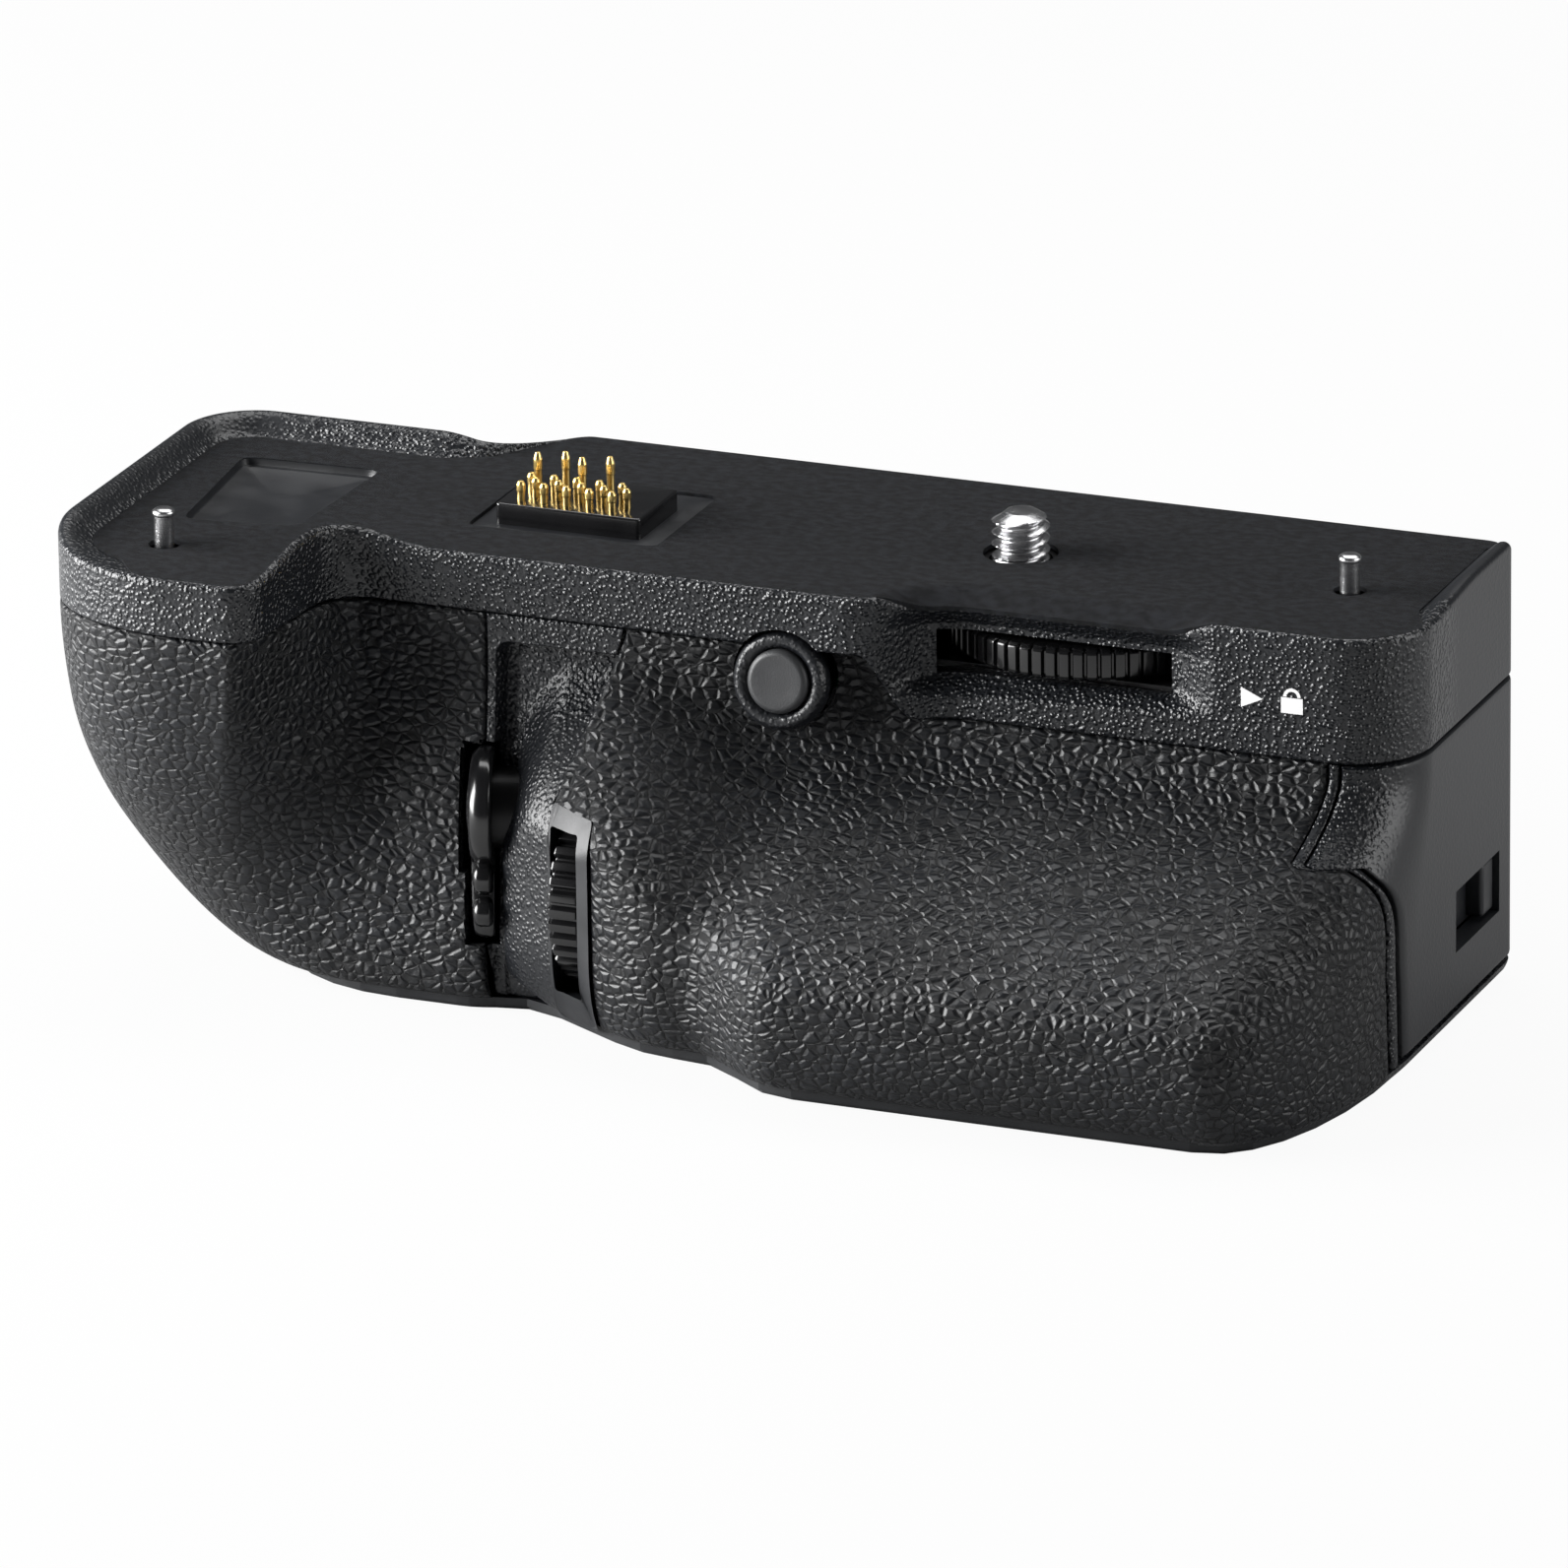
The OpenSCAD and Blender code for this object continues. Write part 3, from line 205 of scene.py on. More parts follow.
def panel_edge(z):
    """x of the seam between left cover and release panel: slants to the right going down."""
    return blend(-52.5, -49.3, np.clip((SEAM_Z - z) / 40.7, 0, None) ** 1.3)


def body_left(z):
    """Left end of the body: upright, then a quarter ellipse to the foot."""
    t = np.clip((-18 - z) / 30, 0, 0.995)
    return LEFT + 26 - 26 * np.sqrt(1 - t * t)


def crest(x):
    """Forward line of the hand grip: two eased steps over x."""
    return -28.5 - 9.5 * ease((x + 50) / 24) + (HUMP + 38) * ease((x + 24) / 13)


def valley(z):
    """Front of the body between lobe and panel: band front eased to the foot."""
    return blend(CENTRE, FOOT, down(z))


def body_front(x, z):
    """Front of the body. Left of the panel the lobe eases back to the valley over x; right of it
    the band's front eases out to the crest over z; both roll under at the foot."""
    w = down(z)
    start = LEFT + 23.8 - 8 * w
    end = LEFT + 30.6 + 11 * w
    left = blend(blend(LOBE, FOOT, w), valley(z), ease((x - start) / (end - start)))
    along = ease((x + 40) / 25)
    high, low = blend(-6.5, -15, along), blend(-25, -36, along)
    base = blend(CENTRE, SKIRT, ease((x + 30) / 30))
    hump = blend(base, crest(x), ease((high - z) / (high - low)))
    share = ease((x + 53) / 10)
    return blend(left, hump, share) + blend(foot_roll(z), hump_roll(z), share)


def front_point(x, z, d):
    """Point of the front face moved d inwards, square to its plan curve."""
    slope = (body_front(x + 0.1, z) - body_front(x - 0.1, z)) / 0.2
    size = np.sqrt(1 + slope * slope)
    return np.stack(np.broadcast_arrays(x - d * slope / size, body_front(x, z) + d / size, z), -1)


def corner_centre(z):
    """Centre of the right front corner's plan ellipse."""
    share = ease((-15 - z) / 21)
    return blend(RIGHT - BAND_CORNER, 35.2, share), blend(SKIRT + BAND_CORNER, -12, share)


def corner_point(a, z, d):
    """Right front corner at angle a in degrees, 90 at the front and 0 at the end, d inside."""
    cx, cy = corner_centre(z)
    rx = RIGHT - foot_roll(z) - cx - d
    ry = cy - body_front(cx, z) - d
    t = np.radians(a)
    return np.stack(np.broadcast_arrays(cx + rx * np.cos(t), cy - ry * np.sin(t), z), -1)


def left_point(a, z, d):
    """Left front corner at angle a in degrees, 0 at the end and 90 at the front, d inside."""
    x0 = body_left(z)
    y0 = body_front(x0 + LOBE_CORNER[0], z)
    t = np.radians(a)
    return np.stack(np.broadcast_arrays(
        x0 + LOBE_CORNER[0] - (LOBE_CORNER[0] - d) * np.cos(t),
        y0 + LOBE_CORNER[1] - (LOBE_CORNER[1] - d) * np.sin(t), z), -1)


def left_rear_point(a, z, d):
    """Left rear corner at angle a in degrees, 90 at the rear and 180 at the end, d inside."""
    t = np.radians(a)
    return np.stack(np.broadcast_arrays(
        body_left(z) + LOBE_REAR + (LOBE_REAR - d) * np.cos(t),
        REAR_LEFT - LOBE_REAR + (LOBE_REAR - foot_roll(z) - d) * np.sin(t), z), -1)


def rear_line(x):
    """Rear face over x: stands forward behind the left lobe, eased to the full depth."""
    return blend(REAR_LEFT, REAR, ease((x - REAR_FALL[0]) / (REAR_FALL[1] - REAR_FALL[0])))


def band_outline(count):
    """Plan of the band, anticlockwise from the left end: lobe corner, flank, step, corners."""
    step = np.linspace(STEP_FALL[0], STEP_FALL[1], 60)
    rear = np.linspace(REAR_FALL[1] + 2, REAR_FALL[0] - 2, 60)
    lobe = arc((0, 0), 1, 180, 270, 60) * np.array(LOBE_CORNER)
    lobe = lobe + [LEFT + LOBE_CORNER[0], LOBE + LOBE_CORNER[1]]
    outer, inner = LOBE_ROUND
    line = np.vstack([
        lobe,
        arc((LOBE_FLANK - outer - 0.4, LOBE + outer), outer, -90, -6, 40),
        arc((LOBE_FLANK + inner + 0.4, CENTRE - inner), inner, 174, 90, 40),
        np.stack([step, blend(CENTRE, SKIRT, ease((step - STEP_FALL[0]) / (STEP_FALL[1] - STEP_FALL[0])))],
                 1),
        arc((RIGHT - BAND_CORNER, SKIRT + BAND_CORNER), BAND_CORNER, -90, 0, 50),
        arc(HINGE, REAR_CORNER, 0, 90, 30),
        np.stack([rear, rear_line(rear)], 1),
        arc((LEFT + LOBE_REAR, REAR_LEFT - LOBE_REAR), LOBE_REAR, 90, 180, 40)])
    return resample(line, count)


def lever_room(points):
    """Tells which points lie in the room kept free for the release lever and its tab."""
    off = points - RELEASE
    out, ahead, z = off @ RELEASE_AXIS, off @ np.array([-RELEASE_AXIS[1], RELEASE_AXIS[0], 0]), off[..., 2]
    ring = (np.hypot(ahead, z) < LEVER + 0.4) & (out > -LEVER_HALF - 0.4) & (out < LEVER_HALF + 1.1)
    tab = (ahead > -5.2) & (z < 0) & (z > -LEVER_REACH - 0.4) & (np.abs(out) < LEVER_HALF + 0.4)
    return ring | tab


def cell_middles(grid, wrap=False):
    """Middle of each cell of a grid of points."""
    if wrap:
        grid = np.concatenate([grid, grid[:, :1]], 1)
    return (grid[:-1, :-1] + grid[1:, 1:]) / 2


def grid_faces(rows, cols, wrap=False):
    """Four-sided faces between neighbours of a rows by cols grid, joined round where wrap is set."""
    i = np.arange(rows - 1)[:, None] * cols
    j = np.arange(cols if wrap else cols - 1)[None, :]
    k = (j + 1) % cols
    return np.stack([i + j, i + cols + j, i + cols + k, i + k], -1).reshape(-1, 4)


def tube(rows_of_points):
    """Surface whose rows are closed rings."""
    rows, cols = rows_of_points.shape[:2]
    return rows_of_points.reshape(-1, 3), grid_faces(rows, cols, True)


def shell(outer, inner, keep=None, wrap=False):
    """Closed plate between two grids: outer faces, inner faces turned over, and a wall along every
    free edge. keep tells which cells stay."""
    rows, cols = outer.shape[:2]
    count = rows * cols
    cells = (rows - 1, cols if wrap else cols - 1)
    keep = np.ones(cells, bool) if keep is None else keep
    faces = grid_faces(rows, cols, wrap).reshape(*cells, 4)
    quads = faces[keep]
    edge = np.pad(keep, ((1, 1), (0, 0)))
    above, below = edge[:-2], edge[2:]
    if wrap:
        before, after = np.roll(keep, 1, 1), np.roll(keep, -1, 1)
    else:
        side = np.pad(keep, ((0, 0), (1, 1)))
        before, after = side[:, :-2], side[:, 2:]
    walls = []
    for first, second, beside in ((0, 1, before), (1, 2, below), (2, 3, after), (3, 0, above)):
        free = faces[keep & ~beside]
        p, q = free[:, first], free[:, second]
        walls.append(np.stack([q, p, p + count, q + count], 1))
    points = np.concatenate([outer.reshape(-1, 3), inner.reshape(-1, 3)])
    return points, np.concatenate([quads, quads[:, ::-1] + count, *walls])


def joined(*parts):
    """One set of points and faces from several."""
    points, faces, start = [], [], 0
    for p, f in parts:
        points.append(p)
        faces.append(f + start)
        start += len(p)
    return np.concatenate(points), np.concatenate(faces)


def axes_round(axis):
    """Two unit directions square to an axis."""
    a = np.array(axis, float) / np.linalg.norm(axis)
    side = np.array([0, 0, 1.0]) if abs(a[2]) < 0.9 else np.array([1.0, 0, 0])
    u = np.cross(side, a)
    u /= np.linalg.norm(u)
    return a, u, np.cross(a, u)


def turned(profile, at, axis, steps=72, radius=None):
    """Turned shape: (radius, height) points carried round an axis. radius(r, h, angle), where
    given, returns the radius at each point, as for ribs and threads."""
    a, u, v = axes_round(axis)
    r, h = np.array(profile, float).T
    angle = np.linspace(0, 2 * np.pi, steps, endpoint=False)
    size = np.repeat(r[:, None], steps, 1) if radius is None else radius(r[:, None], h[:, None], angle[None])
    points = (np.array(at, float) + h[:, None, None] * a
              + size[..., None] * (np.cos(angle)[:, None] * u + np.sin(angle)[:, None] * v))
    return tube(points)


def rounded_profile(points, radius, steps=5):
    """Profile line whose inner corners are rounded by arcs of at most the given radius."""
    line = [np.array(points[0], float)]
    for before, p, after in zip(points[:-2], points[1:-1], points[2:]):
        p = np.array(p, float)
        a, b = np.array(before) - p, np.array(after) - p
        la, lb = np.linalg.norm(a), np.linalg.norm(b)
        cut = min(radius, la * 0.45, lb * 0.45)
        start, end = p + a / la * cut, p + b / lb * cut
        t = np.linspace(0, 1, steps)[:, None]
        line.extend((1 - t) ** 2 * start + 2 * t * (1 - t) * p + t * t * end)
    line.append(np.array(points[-1], float))
    return np.array(line)


def slab(outline, low, high, edge, steps=5):
    """Plate with rounded upper and lower edges: rings of the outline moved inwards along quarter
    circles, closed by fans to the middle."""
    normal = inward(outline)
    turn = np.linspace(0, np.pi / 2, steps)
    insets = np.concatenate([edge * (1 - np.sin(turn)), edge * (1 - np.cos(turn))])
    heights = np.concatenate([low + edge * (1 - np.cos(turn)), high - edge * (1 - np.sin(turn))])
    rings = [np.concatenate([outline + d * normal, np.full((len(outline), 1), z)], 1)
             for d, z in zip(insets, heights)]
    middle = outline.mean(0)
    bottom = np.tile([*middle, low], (len(outline), 1))
    top = np.tile([*middle, high], (len(outline), 1))
    return tube(np.array([bottom, *rings, top]))


def within(points, outline):
    """Tells which plan points lie inside an outline, by counting crossings of a ray along x."""
    x, y = points[:, :1], points[:, 1:]
    a, b = outline, np.roll(outline, -1, 0)
    rise = np.where(b[:, 1] == a[:, 1], 1e-9, b[:, 1] - a[:, 1])
    spans = (a[:, 1] > y) != (b[:, 1] > y)
    return np.sum(spans & (x < a[:, 0] + (y - a[:, 1]) / rise * (b[:, 0] - a[:, 0])), 1) % 2 == 1


def sheet(outlines, fill, top, thick):
    """Plate with the first outline as its plan and the others as holes: triangles between their
    points and those of fill that lie inside. top(x, y) is the height of its upper face."""
    def inside(points):
        return within(points, outlines[0]) & ~np.any([within(points, hole) for hole in outlines[1:]], 0)
    starts = np.cumsum([0] + [len(line) for line in outlines])
    loops = [np.stack([np.arange(len(line)), (np.arange(len(line)) + 1) % len(line)], 1) + start
             for line, start in zip(outlines, starts)]
    plan = np.vstack([*outlines, fill[inside(fill)]])
    made = delaunay_2d_cdt(plan.tolist(), np.vstack(loops).tolist(), [], 0, 1e-5, False)
    plan, faces = np.array([tuple(p) for p in made[0]]), np.array(made[2])
    faces = faces[inside(plan[faces].mean(1))]
    sides = np.concatenate([faces[:, [0, 1]], faces[:, [1, 2]], faces[:, [2, 0]]])
    key = np.sort(sides, 1) @ np.array([len(plan), 1])
    _, first, uses = np.unique(key, return_index=True, return_counts=True)
    p, q = sides[first[uses == 1]].T
    count = len(plan)
    upper = np.column_stack([plan, top(*plan.T)])
    lower = upper - [0, 0, thick]
    walls = np.concatenate([np.stack([q, p, p + count], 1), np.stack([q, p + count, q + count], 1)])
    return np.concatenate([upper, lower]), np.concatenate([faces, faces[:, ::-1] + count, walls])


def standing(points):
    """Turns a plate drawn in plan so that it faces the rear: (x, y, z) becomes (x, z, y)."""
    return points[:, [0, 2, 1]]


def frame_ring(outer, inner, heights, edge):
    """Frame between two outlines of equal count. heights gives base and top; the top's two edges
    are rounded by edge."""
    base, top = heights
    turn = np.linspace(0, np.pi / 2, 5)
    rows = [(0, base)]
    width = np.linalg.norm(inner - outer, axis=1).mean()
    rows += [((edge * (1 - np.cos(t))) / width, top - edge * (1 - np.sin(t))) for t in turn]
    rows += [(1 - edge * (1 - np.sin(t)) / width, top - edge * (1 - np.cos(t))) for t in turn]
    rows += [(1, base), (0, base)]
    return np.array([np.concatenate([blend(outer, inner, s), np.full((len(outer), 1), h)], 1)
                     for s, h in rows])


def ribs(count, depth, flat=0.6):
    """Groove depth round a wheel: raised flats with eased valleys between them."""
    def at(angle):
        phase = (angle * count / (2 * np.pi)) % 1
        return depth * ease((np.abs(phase - 0.5) * 2 - flat) / (0.9 - flat))
    return at


def add_piece(name, points, faces, material, body, slot, stands_for=(), sharp=40, weld=0.002):
    """Puts a closed surface in the scene: points in millimetres welded, faces turned outwards,
    smooth apart from edges sharper than the angle, riding on its body."""
    mesh = bpy.data.meshes.new(name)
    mesh.vertices.add(len(points))
    mesh.vertices.foreach_set("co", (np.asarray(points, float) * MM).ravel())
    mesh.loops.add(faces.size)
    mesh.loops.foreach_set("vertex_index", np.ascontiguousarray(faces, np.int32).ravel())
    mesh.polygons.add(len(faces))
    mesh.polygons.foreach_set("loop_start", np.arange(0, faces.size, faces.shape[1], dtype=np.int32))
    mesh.update(calc_edges=True)
    work = bmesh.new()
    work.from_mesh(mesh)
    bmesh.ops.remove_doubles(work, verts=work.verts, dist=weld * MM)
    bmesh.ops.delete(work, geom=[v for v in work.verts if not v.link_faces], context="VERTS")
    if work.calc_volume(signed=True) < 0:
        bmesh.ops.reverse_faces(work, faces=work.faces)
    work.to_mesh(mesh)
    work.free()
    mesh.shade_smooth()
    mesh.set_sharp_from_angle(angle=math.radians(sharp))
    mesh.materials.append(material)
    piece = bpy.data.objects.new(name, mesh)
    bpy.context.scene.collection.objects.link(piece)
    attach(piece, body)
    if stands_for:
        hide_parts(*stands_for)
    if not len(mesh.polygons):
        raise RuntimeError(f"{name} has no faces")
    return piece


def mark_grain(piece, share):
    """Stores how rough the moulded texture is at each point, 0 smooth and 1 full."""
    mesh = piece.data
    co = np.empty(len(mesh.vertices) * 3, np.float32)
    mesh.vertices.foreach_get("co", co)
    x, y, z = co.reshape(-1, 3).T / MM
    layer = mesh.attributes.new("grain", "FLOAT", "POINT")
    layer.data.foreach_set("value", np.ascontiguousarray(share(x, y, z), np.float32))


# Materials


def add_node(tree, kind, inputs=None, **settings):
    """Shader node with its settings, and its inputs given as values or linked sockets."""
    made = tree.nodes.new(kind)
    for key, value in settings.items():
        setattr(made, key, value)
    for key, value in (inputs or {}).items():
        if isinstance(value, bpy.types.NodeSocket):
            tree.links.new(value, made.inputs[key])
        else:
            made.inputs[key].default_value = value
    return made


def maths(tree, operation, a, b=0.5):
    """Output of a Math node."""
    return add_node(tree, "ShaderNodeMath", {0: a, 1: b}, operation=operation).outputs[0]


def remap(tree, value, low, high, to_low=0.0, to_high=1.0):
    """Output of a clamped Map Range node."""
    return add_node(tree, "ShaderNodeMapRange", {
        "Value": value, "From Min": low, "From Max": high, "To Min": to_low, "To Max": to_high,
    }, interpolation_type="SMOOTHSTEP").outputs[0]


def new_group(name, inputs, outputs):
    """Empty shader node group with float inputs and outputs, and its two end nodes."""
    tree = bpy.data.node_groups.new(name, "ShaderNodeTree")
    tree.interface.new_socket("Vector", in_out="INPUT", socket_type="NodeSocketVector")
    for key, value in inputs.items():
        tree.interface.new_socket(key, in_out="INPUT", socket_type="NodeSocketFloat").default_value = value
    for key in outputs:
        tree.interface.new_socket(key, in_out="OUTPUT", socket_type="NodeSocketFloat")
    return tree, tree.nodes.new("NodeGroupInput").outputs, tree.nodes.new("NodeGroupOutput").inputs


def stipple_group():
    """Moulded stipple: rounded pips of uneven size, from cells at one scale shaken by noise."""
    tree, given, out = new_group("Moulded stipple", {"Size": 0.00055}, ("Height", "Tone"))
    per_metre = maths(tree, "DIVIDE", 1.0, given["Size"])
    pips = add_node(tree, "ShaderNodeTexVoronoi", {
        "Vector": given["Vector"], "Scale": per_metre, "Smoothness": 0.6, "Randomness": 1.0},
        feature="SMOOTH_F1").outputs["Distance"]
    fine = add_node(tree, "ShaderNodeTexNoise", {
        "Vector": given["Vector"], "Scale": maths(tree, "MULTIPLY", per_metre, 0.9), "Detail": 3.0},
        ).outputs["Fac"]
    broad = add_node(tree, "ShaderNodeTexNoise", {
        "Vector": given["Vector"], "Scale": maths(tree, "MULTIPLY", per_metre, 0.02), "Detail": 2.0},
        ).outputs["Fac"]
    domes = remap(tree, pips, 0.1, 0.62, 1.0, 0.0)
    tree.links.new(maths(tree, "ADD", maths(tree, "MULTIPLY", domes, 0.65),
                         maths(tree, "MULTIPLY", fine, 0.7)),
                   out["Height"])
    tree.links.new(broad, out["Tone"])
    return tree


def leather_group():
    """Leather grain: rounded pebbles parted by creases, the cells bent by noise; Crease is low in the
    creases, and the rubber uses it to darken its colour there as painted shade.
    """
    tree, given, out = new_group("Leather grain", {"Size": 0.0014}, ("Height", "Crease", "Tone"))
    per_metre = maths(tree, "DIVIDE", 1.0, given["Size"])
    bend = add_node(tree, "ShaderNodeTexNoise", {
        "Vector": given["Vector"], "Scale": maths(tree, "MULTIPLY", per_metre, 0.8), "Detail": 2.0},
        ).outputs["Color"]
    shift = add_node(tree, "ShaderNodeVectorMath", {0: bend, 1: (0.5, 0.5, 0.5)},
                     operation="SUBTRACT").outputs[0]
    scaled = add_node(tree, "ShaderNodeVectorMath", {0: shift}, operation="SCALE")
    tree.links.new(maths(tree, "MULTIPLY", given["Size"], 0.4), scaled.inputs["Scale"])
    bent = add_node(tree, "ShaderNodeVectorMath", {0: given["Vector"], 1: scaled.outputs[0]},
                    operation="ADD").outputs[0]
    edge = add_node(tree, "ShaderNodeTexVoronoi", {"Vector": bent, "Scale": per_metre},
                    feature="DISTANCE_TO_EDGE").outputs["Distance"]
    fine = add_node(tree, "ShaderNodeTexNoise", {
        "Vector": given["Vector"], "Scale": maths(tree, "MULTIPLY", per_metre, 5.0), "Detail": 3.0},
        ).outputs["Fac"]
    broad = add_node(tree, "ShaderNodeTexNoise", {
        "Vector": given["Vector"], "Scale": maths(tree, "MULTIPLY", per_metre, 0.08), "Detail": 2.0},
        ).outputs["Fac"]
    rounded = remap(tree, edge, -0.08, 0.34)
    tree.links.new(maths(tree, "ADD", rounded, maths(tree, "MULTIPLY", fine, 0.06)), out["Height"])
    # Crease mask: 0 in the creases, 1 on the pebbles; it sets the rubber's roughness and paints shade into
    # the creases
    tree.links.new(remap(tree, edge, 0.0, 0.12), out["Crease"])
    tree.links.new(broad, out["Tone"])
    return tree


def haze_group():
    """Slight unevenness of a finish: broad cloud with fine specks, for roughness and tone."""
    tree, given, out = new_group("Finish haze", {"Size": 0.004}, ("Cloud", "Speck"))
    per_metre = maths(tree, "DIVIDE", 1.0, given["Size"])
    cloud = add_node(tree, "ShaderNodeTexNoise", {
        "Vector": given["Vector"], "Scale": per_metre, "Detail": 4.0}).outputs["Fac"]
    speck = add_node(tree, "ShaderNodeTexNoise", {
        "Vector": given["Vector"], "Scale": maths(tree, "MULTIPLY", per_metre, 24.0),
        "Detail": 2.0}).outputs["Fac"]
    tree.links.new(cloud, out["Cloud"])
    tree.links.new(speck, out["Speck"])
    return tree


def start_material(name, group, size, stretch=(1.0, 1.0, 1.0)):
    """Material with its shader, and a texture group on Object coordinates stretched by stretch."""
    material = bpy.data.materials.new(name)
    material.use_nodes = True
    tree = material.node_tree
    shader = tree.nodes["Principled BSDF"]
    place = add_node(tree, "ShaderNodeTexCoord").outputs["Object"]
    vector = add_node(tree, "ShaderNodeMapping", {"Vector": place, "Scale": stretch}).outputs[0]
    texture = add_node(tree, "ShaderNodeGroup", node_tree=group)
    tree.links.new(vector, texture.inputs["Vector"])
    texture.inputs["Size"].default_value = size
    return material, tree, shader, texture.outputs


def tint(tree, shader, value, colour, spread):
    """Base colour that swings between a darker and a lighter shade of a colour."""
    ramp = add_node(tree, "ShaderNodeValToRGB", {"Fac": value})
    for element, k in zip(ramp.color_ramp.elements, (1 - spread, 1 + spread)):
        element.color = (*(c * k for c in colour[:3]), 1)
    ramp.color_ramp.elements[0].position, ramp.color_ramp.elements[1].position = 0.3, 0.7
    tree.links.new(ramp.outputs["Color"], shader.inputs["Base Color"])


def bump(tree, shader, height, distance, strength=1.0):
    """Bump that feeds the shader's normal."""
    made = add_node(tree, "ShaderNodeBump", {"Height": height, "Distance": distance, "Strength": strength})
    tree.links.new(made.outputs["Normal"], shader.inputs["Normal"])


def stippled_plastic(name, colour, sizes, group):
    """Moulded plastic with stipple that fades where the piece's grain mark is low."""
    material, tree, shader, texture = start_material(name, group, sizes.stipple_size)
    tint(tree, shader, texture["Tone"], colour, 0.18)
    grain = add_node(tree, "ShaderNodeAttribute", attribute_name="grain").outputs["Fac"]
    tree.links.new(remap(tree, grain, 0.0, 1.0, 0.4, 0.3), shader.inputs["Roughness"])
    bump(tree, shader, maths(tree, "MULTIPLY", texture["Height"], grain), sizes.stipple_depth)
    shader.inputs["Specular IOR Level"].default_value = 0.5
    return material


def leather_rubber(name, colour, sizes, group):
    """Rubber cover with leather grain, a little stretched along the body; its colour is darkened in the
    creases as painted shade.
    """
    material, tree, shader, texture = start_material(name, group, sizes.leather_size, (0.8, 1.0, 1.15))
    # Painted shade: base colour goes darker where Crease is low, in the creases, times a broad random tone
    tint(tree, shader, maths(tree, "MULTIPLY", texture["Crease"], texture["Tone"]), colour, 0.6)
    tree.links.new(remap(tree, texture["Crease"], 0.0, 1.0, 0.8, 0.42), shader.inputs["Roughness"])
    bump(tree, shader, texture["Height"], sizes.leather_depth)
    shader.inputs["Specular IOR Level"].default_value = 0.4
    return material


def flock(name, colour, group):
    """Flocked pad: very fine nap over cloudy brush marks."""
    material, tree, shader, texture = start_material(name, group, 0.0013, (1.0, 1.4, 1.0))
    nap = maths(tree, "ADD", texture["Cloud"], texture["Speck"])
    tint(tree, shader, remap(tree, nap, 0.8, 1.2), colour, 0.6)
    bump(tree, shader, nap, 0.0005)
    shader.inputs["Roughness"].default_value = 0.95
    shader.inputs["Specular IOR Level"].default_value = 0.1
    shader.inputs["Sheen Weight"].default_value = 0.06
    shader.inputs["Sheen Roughness"].default_value = 0.5
    return material


def plain_finish(name, colour, group, rough, metal=0.0, spread=0.1, size=0.004, depth=0.0,
                 stretch=(1, 1, 1), coat=0.0):
    """Smooth finish whose tone and roughness drift slightly over the surface."""
    material, tree, shader, texture = start_material(name, group, size, stretch)
    tint(tree, shader, texture["Cloud"], colour, spread)
    tree.links.new(remap(tree, texture["Cloud"], 0.25, 0.75, rough * 0.85, rough * 1.15),
                   shader.inputs["Roughness"])
    shader.inputs["Metallic"].default_value = metal
    shader.inputs["Coat Weight"].default_value = coat
    if depth:
        bump(tree, shader, texture["Speck"], depth)
    return material


FINISHES = {}


class GripSizes(bpy.types.PropertyGroup):
    """Sizes of textures and fine shapes."""
    stipple_size: FloatProperty(name="Stipple size", description="Spacing of the moulded pips",
                                default=0.0005, unit="LENGTH")
    stipple_depth: FloatProperty(name="Stipple depth", description="Height of the moulded pips",
                                 default=0.00022, unit="LENGTH")
    leather_size: FloatProperty(name="Grain size", description="Spacing of the leather pebbles",
                                default=0.00112, unit="LENGTH")
    leather_depth: FloatProperty(name="Grain depth", description="Depth of the leather creases",
                                 default=0.0002, unit="LENGTH")
    edge_round: FloatProperty(name="Edge rounding", description="Radius of moulded edges", default=0.0007,
                              unit="LENGTH")
    thread_pitch: FloatProperty(name="Thread pitch", description="Pitch of the tripod thread",
                                default=0.00127, unit="LENGTH")
    lock_ribs: IntProperty(name="Lock dial ribs", description="Ribs round the lock dial", default=66)
    dial_ribs: IntProperty(name="Command dial ribs", description="Ribs round the command dials", default=40)


class GripColours(bpy.types.PropertyGroup):
    """Colours of the finishes."""
    plastic: FloatVectorProperty(name="Plastic", description="Moulded plastic", subtype="COLOR", size=3,
                                 default=(0.0074, 0.0083, 0.0102))
    rubber: FloatVectorProperty(name="Rubber", description="Rubber covers", subtype="COLOR", size=3,
                                default=(0.0044, 0.0051, 0.0066))
    pad: FloatVectorProperty(name="Pad", description="Flocked deck pad", subtype="COLOR", size=3,
                             default=(0.0105, 0.0116, 0.0148))
    gloss: FloatVectorProperty(name="Gloss", description="Glossy controls", subtype="COLOR", size=3,
                               default=(0.006, 0.006, 0.0065))
    button: FloatVectorProperty(name="Buttons", description="Button caps", subtype="COLOR", size=3,
                                default=(0.03, 0.031, 0.033))
    steel: FloatVectorProperty(name="Steel", description="Screw and pins", subtype="COLOR", size=3,
                               default=(0.62, 0.62, 0.63))
    gold: FloatVectorProperty(name="Gold", description="Plated contacts", subtype="COLOR", size=3,
                              default=(0.83, 0.6, 0.22))
    ink: FloatVectorProperty(name="Ink", description="Printed signs", subtype="COLOR", size=3,
                             default=(0.9, 0.9, 0.9))


